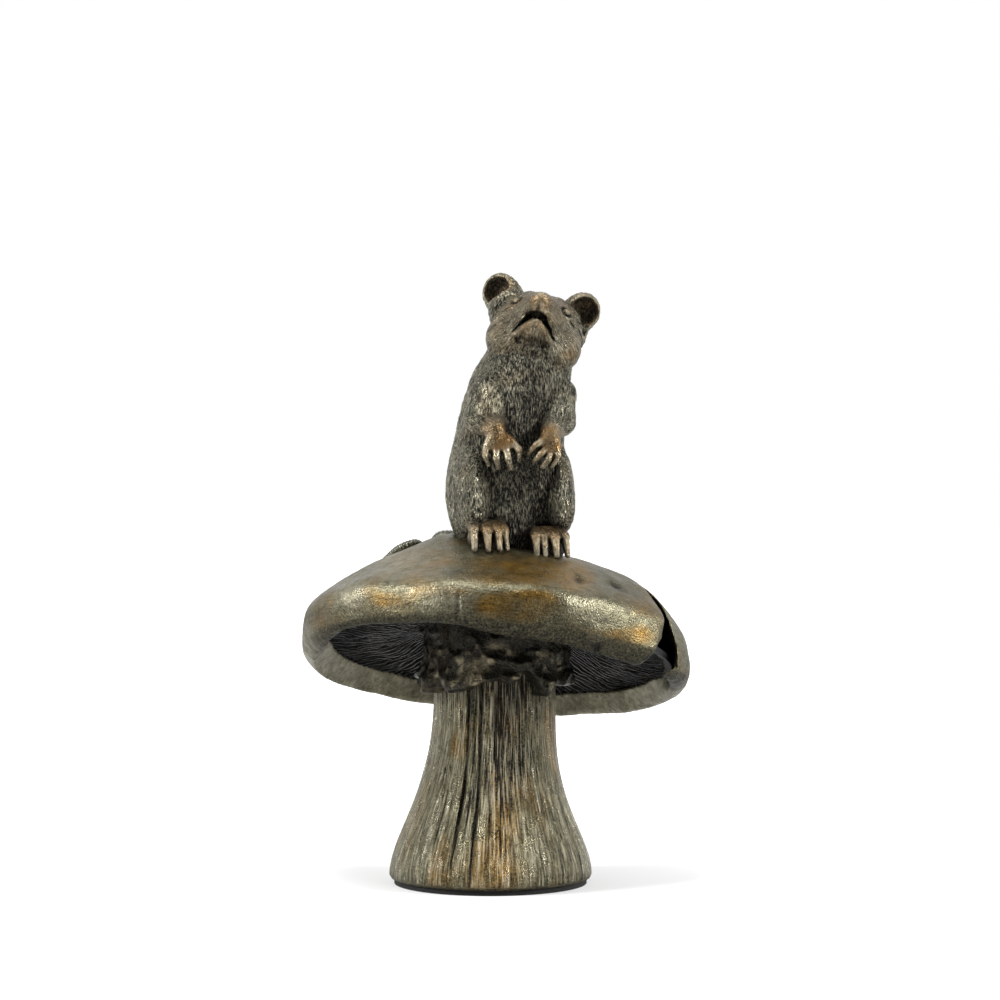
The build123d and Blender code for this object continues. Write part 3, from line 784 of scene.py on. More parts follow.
# One blade, from a flat block: outward_share runs along it, and up_share from its free edge to its root.
blade_grid = {"Size": (1, 1, 1), "Vertices X": gill_columns, "Vertices Y": 2, "Vertices Z": 5}
blade = add_node(tree, "GeometryNodeMeshCube", blade_grid).outputs["Mesh"]
corner = add_node(tree, "GeometryNodeInputPosition").outputs[0]
block = add_node(tree, "ShaderNodeSeparateXYZ", {0: corner}).outputs
outward_share = calc("ADD", block["X"], 0.5)
down_share = calc("SUBTRACT", 0.5, block["Z"])
up_share = calc("ADD", 0.5, block["Z"])
fall_share = calc("SUBTRACT", 1.0, calc("POWER", up_share, 2.4))
span = calc("SUBTRACT", size["Outer radius"], size["Inner radius"])
radius_now = calc("ADD", size["Inner radius"], calc("MULTIPLY", outward_share, span))
drop = calc("SUBTRACT", size["Root level"], size["Edge level"])
fall = calc("MULTIPLY", drop, calc("MULTIPLY", outward_share, 0.86))
level_now = calc("SUBTRACT", calc("SUBTRACT", size["Root level"], fall), 0.9)
belly = calc("SINE", calc("MULTIPLY", calc("ADD", outward_share, 0.28), 2.3))
depth_now = calc("MULTIPLY", calc("MULTIPLY", size["Blade depth"], belly), fall_share)
thin = calc("SUBTRACT", 1.0, calc("MULTIPLY", fall_share, 0.45))
side_now = calc("MULTIPLY", calc("MULTIPLY", block["Y"], size["Blade thickness"]), thin)
height_now = calc("ADD", calc("SUBTRACT", level_now, depth_now), 0.5)
blade_place = add_node(tree, "ShaderNodeCombineXYZ", {0: radius_now, 1: side_now, 2: height_now}).outputs[0]
blade = add_node(tree, "GeometryNodeSetPosition", {"Geometry": blade, "Position": blade_place}).outputs[0]
# Painted highlight along each blade's free edge, and painted shade that deepens towards its root.
for key, power, factor, base in (("rub_and_highlight", 9.0, 1.0, 0.0), ("hollow", 4.0, -0.98, 0.98)):
    edge_share = calc("MULTIPLY", calc("POWER", down_share, power), factor)
    blade = stored(tree, blade, key, calc("ADD", edge_share, base))

# The blades stand round the stem, and two noises bend them sideways: a wide wave and a fine ripple.
line_points = add_node(tree, "GeometryNodePoints", {"Count": size["Gill count"]}).outputs[0]
blade_number = add_node(tree, "GeometryNodeInputIndex").outputs[0]
blade_turn = calc("MULTIPLY", blade_number, calc("DIVIDE", 2 * pi, size["Gill count"]))
turn_each = add_node(tree, "ShaderNodeCombineXYZ", {2: blade_turn}).outputs[0]
copies = {"Points": line_points, "Instance": blade, "Rotation": turn_each}
copies = add_node(tree, "GeometryNodeInstanceOnPoints", copies).outputs[0]
blades = add_node(tree, "GeometryNodeRealizeInstances", {0: copies}).outputs[0]
wave_inputs = {"Vector": corner, "Scale": 0.13, "Detail": 2.0, "W": size["Seed"]}
wave = add_node(tree, "ShaderNodeTexNoise", wave_inputs, noise_dimensions="4D")
ripple = add_node(tree, "ShaderNodeTexNoise", {"Vector": corner, "Scale": 0.55, "Detail": 2.0})
bend = vector_math("ADD", {0: offset_of(wave, size["Sideways wave"]), 1: offset_of(ripple, 0.7)})[0]
blades = add_node(tree, "GeometryNodeSetPosition", {"Geometry": blades, "Offset": bend}).outputs[0]
joined = add_node(tree, "GeometryNodeJoinGeometry", {0: blades})
tree.links.new(given.outputs["Geometry"], joined.inputs[0])
real = add_node(tree, "GeometryNodeRealizeInstances", {0: joined.outputs[0]}).outputs[0]
painted = add_node(tree, "GeometryNodeSetMaterial", {"Geometry": real, "Material": gill_bronze}).outputs[0]
tree.links.new(painted, result.inputs[0])
gills.data = plain_mesh(gills, tree, gill_sizes, from_cap)
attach(gills, "root")
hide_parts("gill_plate")

# Round the top of the stem hangs what is left of the veil: a thick wrinkled skin with torn lobes, left dark.
veil_radius = 15.3
veil_bore = 11.6
veil_edge = 43.6
veil_top = 57.0
veil_step = 0.26
# Each lobe: its angle from the front and half width in degrees, how far it hangs down, and its swelling.
veil_lobes = (
    (-38, 13, 2.0, 0.7),
    (-20, 10, 1.0, 0.6),
    (24, 8, -1.8, 0.2),
    (41, 6, 3.2, 0.5),
    (-62, 9, 2.6, 0.5),
    (85, 16, 1.0, 0.4),
    (140, 14, 2.2, 0.6),
    (190, 15, 0.6, 0.5),
    (240, 14, 2.4, 0.6),
)


def veil_field(points):
    """About how far a point lies outside the torn veil."""
    x, y, z = points.T
    x = x - neck_shift
    reach = np.hypot(x, y)
    turn = turned_from(np.arctan2(y, x), -90)
    around = ring(turn, comb_radius, z * 0.75)
    bend = 1.3 * lumps(around, 4.5, 61)
    crease = np.abs(lumps(around + bend[:, None] * 0.8, (2.6, 2.6, 3.4), 62))
    fine = np.abs(lumps(around + bend[:, None], 1.3, 63))
    outer = veil_radius + 0.9 * lumps(around, 6.5, 64) + 1.5 * (0.45 - crease) + 0.55 * (0.4 - fine)
    level_ring = ring(turn, comb_radius, 0)
    low = veil_edge + 0.9 * lumps(level_ring, 3.2, 65) + 0.5 * lumps(level_ring, 1.3, 66)
    for angle, width, fall, swell in veil_lobes:
        lobe = spot(turned_from(turn, angle), radians(width))
        low -= fall * lobe
        outer += swell * lobe
    flare = 0.9 * soft_step(low + 5 - z, 0, 5)
    wall = carve(reach - outer - flare, low - z, 0.9)
    wall = carve(wall, z - veil_top, 0.5)
    return carve(wall, veil_bore - reach, 0.3)


points, faces = skin_of(veil_field, (-19.5, -20.5, 38), (21.5, 20.5, veil_top + 1), veil_step)
faces = outward(points, faces)
normals = slope_of(veil_field, points)
# Painted shade in the veil's folds, where other skin lies close outside.
nook_shade = np.clip(1 - veil_field(points + normals * 1.2) / 1.2, 0, 1)
bright_lobe = 0.7 * spot(np.hypot(points[:, 0] + 3.2, points[:, 2] - 45.4), 1.8) * (points[:, 1] < 0)
# Painted highlights on random ridges of the veil, left out of the painted shade of the folds and fading
# towards the top.
ridge_highlights = 0.38 * soft_step(lumps(points, 1.6, 68), 0.1, 0.8) * (1 - 1.6 * nook_shade)
# Painted shade: the veil darkens towards its top under the cap, on top of the shade in its folds.
finishes = {
    "ochre": 0.5 * soft_step(lumps(points, 3, 67), 0.1, 0.7),
    "hollow": np.clip(0.42 + 1.6 * nook_shade + 0.25 * soft_step(points[:, 2], 46, 53), 0, 1),
    "rub_and_highlight": np.clip(bright_lobe + ridge_highlights * (1 - soft_step(points[:, 2], 48, 54)), 0, 1),
}
veil_bronze = patina(
    "veil_bronze", (0.035, 0.032, 0.023), (0.05, 0.033, 0.013), (0.003, 0.003, 0.002), (0.55, 0.47, 0.3),
    roughness=0.28, grain_height=0.1, speckle=0.4,
)
veil = cast_piece("veil", points, faces, finishes, veil_bronze)
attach(veil, "root")
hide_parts("torn_veil")

# The mouse sits up on the cap. It is cast in ten pieces that are chased together: torso, head, two ears,
# four legs and two hind feet. Its fur was cut into the wax with a fine tool, while paws, nose and ears were
# left smooth and rubbed.
mouse_seat = np.array([3.0, -5.0, 72.3])
mouse_turn = radians(14.0)
mouse_side = np.array([cos(mouse_turn), sin(mouse_turn), 0])
mouse_front = np.array([sin(mouse_turn), -cos(mouse_turn), 0])
mouse_step = 0.19
torso_step = 0.252
mouse_margin = 3.0
torso_size = (23.6, 25.0, 43.0)
# The torso at each share of its height: how far it leans to its side and front, and its width and depth.
torso_shares = np.array((
    (-0.12, 0.01, -0.05, 0.80, 0.74),
    (0.08, 0.01, -0.05, 0.89, 0.86),
    (0.26, 0.02, -0.03, 0.94, 1.00),
    (0.48, 0.03, -0.01, 0.99, 1.04),
    (0.70, 0.09, 0.03, 0.95, 0.90),
    (0.87, 0.16, 0.09, 0.83, 0.76),
    (1.00, 0.20, 0.13, 0.62, 0.58),
    (1.07, 0.21, 0.14, 0.30, 0.28),
))
head_centre = np.array([9.6, -8.0, 116.5])
head_turn, head_roll, head_pitch = radians(-4.0), radians(13.0), radians(34.0)
turn_z = np.array([[cos(head_turn), -sin(head_turn), 0], [sin(head_turn), cos(head_turn), 0], [0, 0, 1]])
turn_y = np.array([[cos(head_roll), 0, sin(head_roll)], [0, 1, 0], [-sin(head_roll), 0, cos(head_roll)]])
turn_x = np.array([[1, 0, 0], [0, cos(head_pitch), sin(head_pitch)], [0, -sin(head_pitch), cos(head_pitch)]])
head_frame = turn_z @ turn_y @ turn_x @ np.diag([1.0, -1.0, 1.0])
# Lines on the face, by distance from its middle, level and half width: mouth, lips, muzzle folds and chin.
mouth_marks = ((0.0, 3.85, 0.8), (1.3, 3.5, 0.72), (3.0, 1.5, 0.2), (4.4, -0.6, 0.08))
lip_marks = ((0.0, 2.6, 0.1), (2.0, 1.0, 0.1), (3.8, -0.9, 0.1))
muzzle_marks = ((2.5, 4.8, 0.1), (4.0, 2.6, 0.1), (5.3, 0.2, 0.1))
chin_marks = ((0.0, -2.2, 0.1), (2.8, -2.0, 0.1))
eye_centre = np.array([5.5, 6.2, 3.2])
eyeball_centre = np.array([5.1, 5.75, 3.05])
eye_along = np.array([0.62, -0.62, 0.48])
eye_out = np.array([0.64, 0.70, 0.32])
ear_centres = {-1: np.array([9.9, 0.2, 9.1]), 1: np.array([8.2, 0.2, 8.9])}
ear_facing = np.array([0.30, 0.78, -0.55])
ear_radius = 3.9
# Joints and radii of the limbs, in the object's own millimetres.
arm_joints = {
    "left": ((-1.3, -12.0, 104.0), (-2.3, -15.4, 98.8), (1.0, -18.9, 96.0)),
    "right": ((14.9, -9.6, 104.0), (14.7, -12.6, 98.3), (12.3, -17.6, 94.9)),
}
arm_radii = (3.3, 2.9, 1.7)
upper_arms = {
    "left": ((0.2, -12.8, 103.0), (0.8, -18.0, 96.8), 3.3, 2.2),
    "right": ((14.4, -10.6, 102.5), (12.5, -17.2, 95.7), 2.7, 1.9),
}
palms = {
    "left": ((2.0, -19.5, 93.6), (3.3, 1.6, 2.3), 0.0),
    "right": ((12.2, -18.7, 93.0), (2.6, 1.6, 2.6), 28.0),
}
fingers = {
    "left": (
        ((-0.75, -19.7, 92.7), (-0.95, -20.3, 91.0), (-0.2, -19.6, 89.2)),
        ((1.2, -20.0, 92.2), (1.3, -20.8, 90.4), (1.75, -19.8, 88.5)),
        ((3.3, -20.0, 92.2), (3.7, -20.8, 90.4), (4.2, -19.8, 88.3)),
        ((4.6, -19.8, 93.6), (5.9, -20.2, 92.2), (5.8, -19.4, 90.0)),
    ),
    "right": (
        ((11.1, -19.4, 94.2), (9.6, -20.0, 93.2), (7.9, -19.2, 91.5)),
        ((11.6, -19.4, 92.6), (10.6, -20.2, 91.4), (9.1, -19.2, 89.8)),
        ((12.5, -19.3, 91.9), (12.0, -20.1, 90.3), (10.9, -19.1, 88.7)),
        ((13.5, -18.9, 92.8), (14.0, -19.5, 91.1), (12.7, -18.9, 88.9)),
    ),
}
finger_radii = (0.86, 0.72, 0.56)
haunch_middles = {"left": (-8.7, 1.5, 11.6), "right": (10.2, 1.3, 11.3)}
haunch_sizes = (3.7, 10.8, 10.4)
# Toe tips, feet and haunches lie to the mouse's side and in front of its seat.
toes = {
    "left": ((-9.7, 13.4), (-7.2, 14.3), (-4.9, 14.2), (-3.2, 13.0)),
    "right": ((3.6, 13.2), (5.3, 13.4), (7.4, 14.2), (9.7, 13.7)),
}
foot_middles = {"left": (-6.4, 10.6), "right": (6.8, 10.4)}


def unit(way):
    return way / np.linalg.norm(way)


def facing_frame(across, out):
    """Three directions at right angles, as columns: along a flat form, over it and out of it."""
    return np.stack([across, np.cross(out, across), out], axis=-1)


eye_along = unit(eye_along)
eye_out = unit(eye_out - (eye_out @ eye_along) * eye_along)
eye_frame = facing_frame(eye_along, eye_out)
ear_facing = unit(ear_facing)
ear_frame = facing_frame(unit(np.array([1.0, 0, 0]) - ear_facing[0] * ear_facing), ear_facing)


def on_mouse(side, front, up):
    return mouse_seat + side * mouse_side + front * mouse_front + np.array([0, 0, up])


def crown_height(spot_xy):
    """How high the cap's skin stands over a point of the table, without the modelling of the wax."""
    low, high = to_cap(np.array([[*spot_xy, 0.0], [*spot_xy, 1.0]]))
    sizes = np.array([cap_radius, cap_radius, cap_rise])
    step = (high - low) / sizes
    low = low / sizes
    square, cross, rest = step @ step, low @ step, low @ low - 1
    return (np.sqrt(cross * cross - square * rest) - cross) / square


def bone(points, start, end, first, last):
    """A round limb that tapers from one joint to the next."""
    start = np.array(start, dtype=np.float64)
    axis = np.array(end) - start
    share = np.clip(((points - start) @ axis) / (axis @ axis), 0, 1)
    return np.linalg.norm(points - start - share[:, None] * axis, axis=-1) - first - (last - first) * share


def ball(points, middle, radius):
    return np.linalg.norm(points - np.array(middle), axis=-1) - radius


def near_only(points, middle, reach, field):
    """A field that is worked out only near its piece, and is a plain distance elsewhere."""
    away = np.linalg.norm(points - np.array(middle), axis=-1) - reach
    near = away < 2.5
    values = away + 1.0
    if near.any():
        values[near] = field(points[near])
    return values


def torso_form(points):
    place = points - mouse_seat
    side, front, up = place @ mouse_side, place @ mouse_front, place[:, 2]
    level = up / torso_size[2]
    shares = [np.interp(level, torso_shares[:, 0], column) for column in torso_shares.T[1:]]
    middle_side, middle_front, wide, deep = shares
    across = (side - middle_side * torso_size[0]) / (wide * torso_size[0] / 2)
    along = (front - middle_front * torso_size[1]) / (deep * torso_size[1] / 2)
    reach = np.hypot(across, along)
    body = (reach - 1) * np.minimum(wide * torso_size[0], deep * torso_size[1]) / 2 * 0.93
    body = np.maximum(body, np.maximum(up - 0.97 * torso_size[2], -5 - up))
    place = np.stack([side - 0.3, front - 15.0, up - 9.5], axis=-1)
    body = carve(body, -bulb(place, (8.8, 6.2, 11.5)), 1.6)
    neck = bone(points, on_mouse(2.6, 1.5, 33.0), head_centre + np.array([-1.1, 2.0, -4.5]), 9.3, 7.5)
    return join(body, neck, 3.0)


def crossing(wide, level, marks):
    """The distance across the face to a line of marks, each with its own half width."""
    nearest = None
    for (x, y, first), (next_x, next_y, last) in zip(marks, marks[1:]):
        run, rise = next_x - x, next_y - y
        share = np.clip(((wide - x) * run + (level - y) * rise) / (run**2 + rise**2), 0, 1)
        away = np.hypot(wide - x - share * run, level - y - share * rise) - first - share * (last - first)
        nearest = away if nearest is None else np.minimum(nearest, away)
    return nearest


def face_places(place):
    """How far a point of the head lies from its middle line, and its level as the face is seen."""
    return np.abs(place[:, 0]), place[:, 2] * cos(head_pitch) + place[:, 1] * sin(head_pitch)


def head_form(points):
    place = (points - head_centre) @ head_frame
    even = np.stack([np.abs(place[:, 0]), place[:, 1], place[:, 2]], axis=-1)
    wide, level = face_places(place)
    form = bulb(place - np.array([0, -0.8, 0.5]), (9.0, 9.6, 8.7))
    form = join(form, bone(place, (0, 2.5, 0.4), (0, 8.4, 0.3), 5.9, 3.9), 2.2)
    form = join(form, bone(place, (0, 8.6, 0.4), (0, 11.2, 0.2), 3.1, 1.8), 1.4)
    form = join(form, ball(even, (5.0, 0.6, -2.6), 5.15), 1.2)
    form = join(form, ball(even, (2.8, 7.2, -0.9), 2.6), 0.8)
    form = join(form, bone(place, (0, 1.0, -4.6), (0, 6.7, -3.7), 4.2, 2.5), 0.8)
    form = join(form, bone(even, (3.2, 4.2, 5.9), (5.4, 2.2, 5.6), 1.3, 1.3), 1.8)
    ahead = soft_step(place[:, 1], 1.5, 3.5)
    form -= ahead * 0.45 * spot(np.maximum(crossing(wide, level, lip_marks), 0), 0.55)
    form -= ahead * 0.35 * spot(np.maximum(crossing(wide, level, muzzle_marks), 0), 0.9)
    form += ahead * 0.55 * spot(np.maximum(crossing(wide, level, chin_marks), 0), 0.6)
    gape = np.maximum(crossing(wide, level, mouth_marks), -form - 0.7 - 1.5 * soft_step(level, 0.5, 3.0))
    form = carve(form, -np.maximum(gape, 2.5 - place[:, 1]), 0.3)
    form = join(form, ball(place, (0, 12.1, 0.5), 1.45), 0.6)
    form = join(form, bone(place, (0, 10.6, 1.7), (0, 12.4, 0.5), 0.6, 0.75), 0.8)
    form = carve(form, -ball(even, (1.1, 12.6, -0.8), 0.28), 0.2)
    form = carve(form, -bone(place, (0, 13.0, -0.9), (0, 11.4, -2.3), 0.22, 0.4), 0.25)
    socket = bulb((even - eye_centre) @ eye_frame, (1.9, 1.15, 1.1))
    form = carve(form, -socket, 0.5)
    form = join(form, bulb((even - eyeball_centre) @ eye_frame, (1.3, 0.8, 1.1)), 0.12)
    crease = bone(even, (6.6, 5.2, 1.6), (8.3, 3.0, 0.6), 0.28, 0.15)
    return carve(form, -crease, 0.25)


def on_ear(points, sign):
    """Points in the head's frame, mirrored for the left ear, and in the ear's own frame."""
    place = ((points - head_centre) @ head_frame) * np.array([sign, 1, 1])
    return place, (place - ear_centres[sign]) @ ear_frame


def ear_form(points, sign):
    place, disc = on_ear(points, sign)
    outer = bulb(disc, (ear_radius, ear_radius * 1.04, 2.0))
    neck = ear_centres[sign] - 1.4 * ear_facing - np.array([0.8, 0, 1.0])
    outer = join(outer, bone(place, (5.6, -0.6, 3.0), neck, 4.9, 3.8 - 0.2 * sign), 1.2)
    cup = bulb(disc - np.array([0.15, 0, 1.25]), (ear_radius - 0.95, ear_radius - 0.9, 2.35))
    return carve(outer, -cup, 0.45)


def limb(points, joints, radii, blend):
    """Two bones that meet at a joint."""
    upper = bone(points, joints[0], joints[1], *radii[:2])
    return join(upper, bone(points, joints[1], joints[2], *radii[1:]), blend)


def arm_form(points, name):
    arm = limb(points, arm_joints[name], arm_radii, 1.6)
    arm = join(arm, bone(points, *upper_arms[name]), 1.0)
    middle, sizes, lean = palms[name]
    tilt = radians(lean)
    x, y, z = (points - np.array(middle)).T
    palm = np.stack([x * cos(tilt) - z * sin(tilt), y, x * sin(tilt) + z * cos(tilt)], axis=-1)
    arm = join(arm, bulb(palm, sizes), 1.1)
    hand = np.min(np.stack([limb(points, finger, finger_radii, 0.25) for finger in fingers[name]]), axis=0)
    return join(arm, hand, 0.45)


def on_body(place):
    """Offsets from a point of the mouse, as its side, front and up."""
    return np.stack([place @ mouse_side, place @ mouse_front, place[:, 2]], axis=-1)


def haunch_form(points, name):
    sign = -1 if name == "left" else 1
    local = on_body(points - on_mouse(*haunch_middles[name]))
    thigh = bulb(local, haunch_sizes)
    knee = bulb(local - np.array([-sign * 0.2, 7.4, -3.6]), (2.5, 3.4, 5.4))
    return join(thigh, knee, 1.8)


def foot_form(points, name):
    side, front = foot_middles[name]
    middle = on_mouse(side, front, 0)
    ground = crown_height(middle[:2])
    slope = crown_height(on_mouse(side, front + 1, 0)[:2]) - ground
    local = on_body(points - middle)
    local[:, 2] = points[:, 2] - ground - slope * local[:, 1]
    foot = bulb(local - np.array([0, -0.9, 1.6]), (3.9, 3.5, 4.0))
    foot = join(foot, bulb(local - np.array([0, -4.2, 0.8]), (3.0, 5.0, 3.4)), 1.2)
    row = None
    for toe_side, toe_front in toes[name]:
        across, ahead = toe_side - side, toe_front - front
        instep = bone(local, (across * 0.75, ahead - 3.6, 4.1), (across * 0.96, ahead - 0.9, 3.7), 1.5, 1.25)
        tip = bone(local, (across * 0.98, ahead - 0.5, 3.5), (across * 1.06, ahead + 0.8, 0.1), 0.95, 0.62)
        toe = join(instep, tip, 0.3)
        row = toe if row is None else join(row, toe, 0.2)
    return join(foot, row, 0.5)


def form_of(name):
    """The field of one piece, its middle and how far it reaches."""
    if name == "mouse_torso":
        return torso_form, on_mouse(1, 0, 20), 40
    if name == "mouse_head":
        return head_form, head_centre, 17
    kind, side = name.rsplit("_", 1)
    if kind == "ear":
        sign = -1 if side == "left" else 1
        centre = head_centre + head_frame @ (ear_centres[sign] * np.array([sign, 1, 1]) * 0.8)
        return (lambda points: ear_form(points, sign)), centre, 8
    if kind == "foreleg":
        centre = np.mean(np.array(arm_joints[side] + (palms[side][0],)), axis=0)
        return (lambda points: arm_form(points, side)), centre, 14
    if kind == "haunch":
        return (lambda points: haunch_form(points, side)), on_mouse(*haunch_middles[side]), 12
    return (lambda points: foot_form(points, side)), on_mouse(*foot_middles[side], 1), 10


mouse_pieces = ["mouse_torso", "mouse_head"]
for kind in ("ear", "foreleg", "haunch", "hind_foot"):
    mouse_pieces += [kind + "_left", kind + "_right"]
fillets = {"mouse_head": 0.8, "ear": 0.8, "foreleg": 0.8, "haunch": 1.3, "hind_foot": 0.4}


def mouse_forms(points):
    """Each piece's own field and the field of the whole mouse, with fillets where pieces meet."""
    forms = {}
    whole = None
    for name in mouse_pieces:
        field, middle, reach = form_of(name)
        forms[name] = near_only(points, middle, reach, field)
        kind = name if name.startswith("mouse") else name.rsplit("_", 1)[0]
        whole = forms[name] if whole is None else join(whole, forms[name], fillets[kind])
    return forms, whole


def whole_mouse(points):
    return mouse_forms(points)[1]


def piece_field(name):
    """The mouse's skin where a piece is the nearest. Past its edge it dips under its neighbours and ends."""
    def field(points):
        forms, whole = mouse_forms(points)
        others = np.min(np.stack([values for key, values in forms.items() if key != name]), axis=0)
        past = forms[name] - others
        return np.maximum(whole + 0.4 * np.maximum(past, 0), past - 1.6)
    return field


def fur_way(points, forms):
    """The way the hair lies at each point."""
    head_place = (points - head_centre) @ head_frame
    back = head_frame @ np.array([0, -1, -0.15])
    spread = head_frame @ np.array([0.45, -0.3, 0])
    sides = np.sign(head_place[:, 0]) * soft_step(np.abs(head_place[:, 0]), 0, 4)
    ways = {
        "mouse_torso": np.array([0.04, 0, -1.0]) + np.outer(0.25 * lumps(points, 6, 71), mouse_side),
        "mouse_head": back + np.outer(sides, spread),
    }
    total = np.zeros_like(points)
    for name, values in forms.items():
        weight = np.exp(-np.clip(values, -3, 12) / 0.7)
        kind, side = name.rsplit("_", 1)
        if name in ways:
            way = ways[name] + np.zeros_like(points)
        elif kind == "ear":
            way = ways["mouse_head"]
        elif kind == "foreleg":
            joints = [np.array(joint) for joint in arm_joints[side]]
            upper = points[:, 2:3] > joints[1][2] + 0.5
            way = np.where(upper, joints[1] - joints[0], joints[2] - joints[1])
            way = way / np.linalg.norm(way, axis=-1, keepdims=True)
        else:
            way = np.array([0, 0, -1.0]) + np.outer(0.2 * lumps(points, 5, 72), mouse_front)
        total += weight[:, None] * way
    return total / (np.linalg.norm(total, axis=-1, keepdims=True) + 1e-9)


def strokes(points, way, size, reach, seed):
    """Noise smeared along the hair, so that it makes strokes."""
    steps = np.linspace(-1, 1, 7)
    weights = 1.1 - np.abs(steps)
    total = np.zeros(len(points))
    for step, weight in zip(steps, weights):
        total += weight * lumps(points + way * (step * reach), size, seed)
    return total / np.sqrt((weights**2).sum())


def lying(points, name):
    """Where a point lies in a piece's coat: these places change slowly along the hair and fast across it."""
    if name == "mouse_head":
        place = (points - head_centre) @ head_frame
        across = np.hypot(place[:, 0], place[:, 2]) + 0.5
        polar = np.arctan2(across, place[:, 1])
        return np.stack([place[:, 0] / across * 7, place[:, 2] / across * 7, polar * 2.2], axis=-1)
    along = np.array([0.0, 0.0, 1.0])
    if name.startswith("foreleg"):
        joints = np.array(arm_joints[name.rsplit("_", 1)[1]])
        upper = soft_step(points[:, 2:3], joints[1][2] - 0.5, joints[1][2] + 1.5)
        along = upper * (joints[0] - joints[1]) + (1 - upper) * (joints[1] - joints[2])
        along = along / np.linalg.norm(along, axis=-1, keepdims=True)
        points = points - joints[1]
    sway = 0.8 * lumps(points, 5, 85)[:, None] * mouse_side
    return points + sway - 0.8 * (points * along).sum(axis=-1, keepdims=True) * along


def bare_places(points, forms):
    """1 on hair, and 0 on paws, toes, nose, lips and inside the ears."""
    hair = np.ones(len(points))
    for side, sign in (("left", -1), ("right", 1)):
        paw_reach = np.linalg.norm(points - np.array(palms[side][0]), axis=-1)
        hair *= np.where(forms["foreleg_" + side] < 0.8, soft_step(paw_reach, 3.2, 7.0), 1)
        hair *= np.where(forms["hind_foot_" + side] < 0.6, 0.15, 1)
        place, disc = on_ear(points, sign)
        hair *= 1 - 0.75 * soft_step(4.6 - np.linalg.norm(disc, axis=-1), 0, 1.2)
        hair *= 1 - 0.9 * spot(np.linalg.norm(place - np.array([5.5, 6.2, 3.1]), axis=-1), 1.7)
    place = (points - head_centre) @ head_frame
    hair *= soft_step(np.linalg.norm(place - np.array([0, 12.8, -0.2]), axis=-1), 1.0, 3.2)
    hair *= np.where(forms["mouse_head"] < 0.5, 1 - 0.45 * soft_step(place[:, 1], -4, 3), 1)
    lips = spot(np.maximum(crossing(*face_places(place), lip_marks), 0), 0.9)
    return hair * (1 - 0.7 * soft_step(place[:, 1], 2, 4) * lips)


def painted_shade_places(points, forms):
    """Where painted shade darkens the coat: the belly, the chest between the forelegs, and the throat."""
    side, front, up = on_body(points - mouse_seat).T
    belly = spot(side - 0.5, 8.5) * soft_step(front, 5, 10) * spot(up - 12, 15) * (forms["mouse_torso"] < 0.6)
    chest = 0.65 * spot(side - 2.5, 6) * soft_step(front, 5, 9) * spot(up - 31, 9)
    head_place = (points - head_centre) @ head_frame
    throat = 0.5 * spot(np.linalg.norm(head_place - np.array([0, 4.5, -8.5]), axis=-1), 4.5)
    return np.clip(belly + chest + throat, 0, 1)


def ear_cups_of(points):
    """1 in the hollow of each ear."""
    cups = np.zeros(len(points))
    for sign in (-1, 1):
        disc = on_ear(points, sign)[1]
        inner = soft_step(3.35 - np.hypot(disc[:, 0], disc[:, 1]), 0, 0.7)
        cups = np.maximum(cups, inner * (np.abs(disc[:, 2]) < 2.5))
    return cups


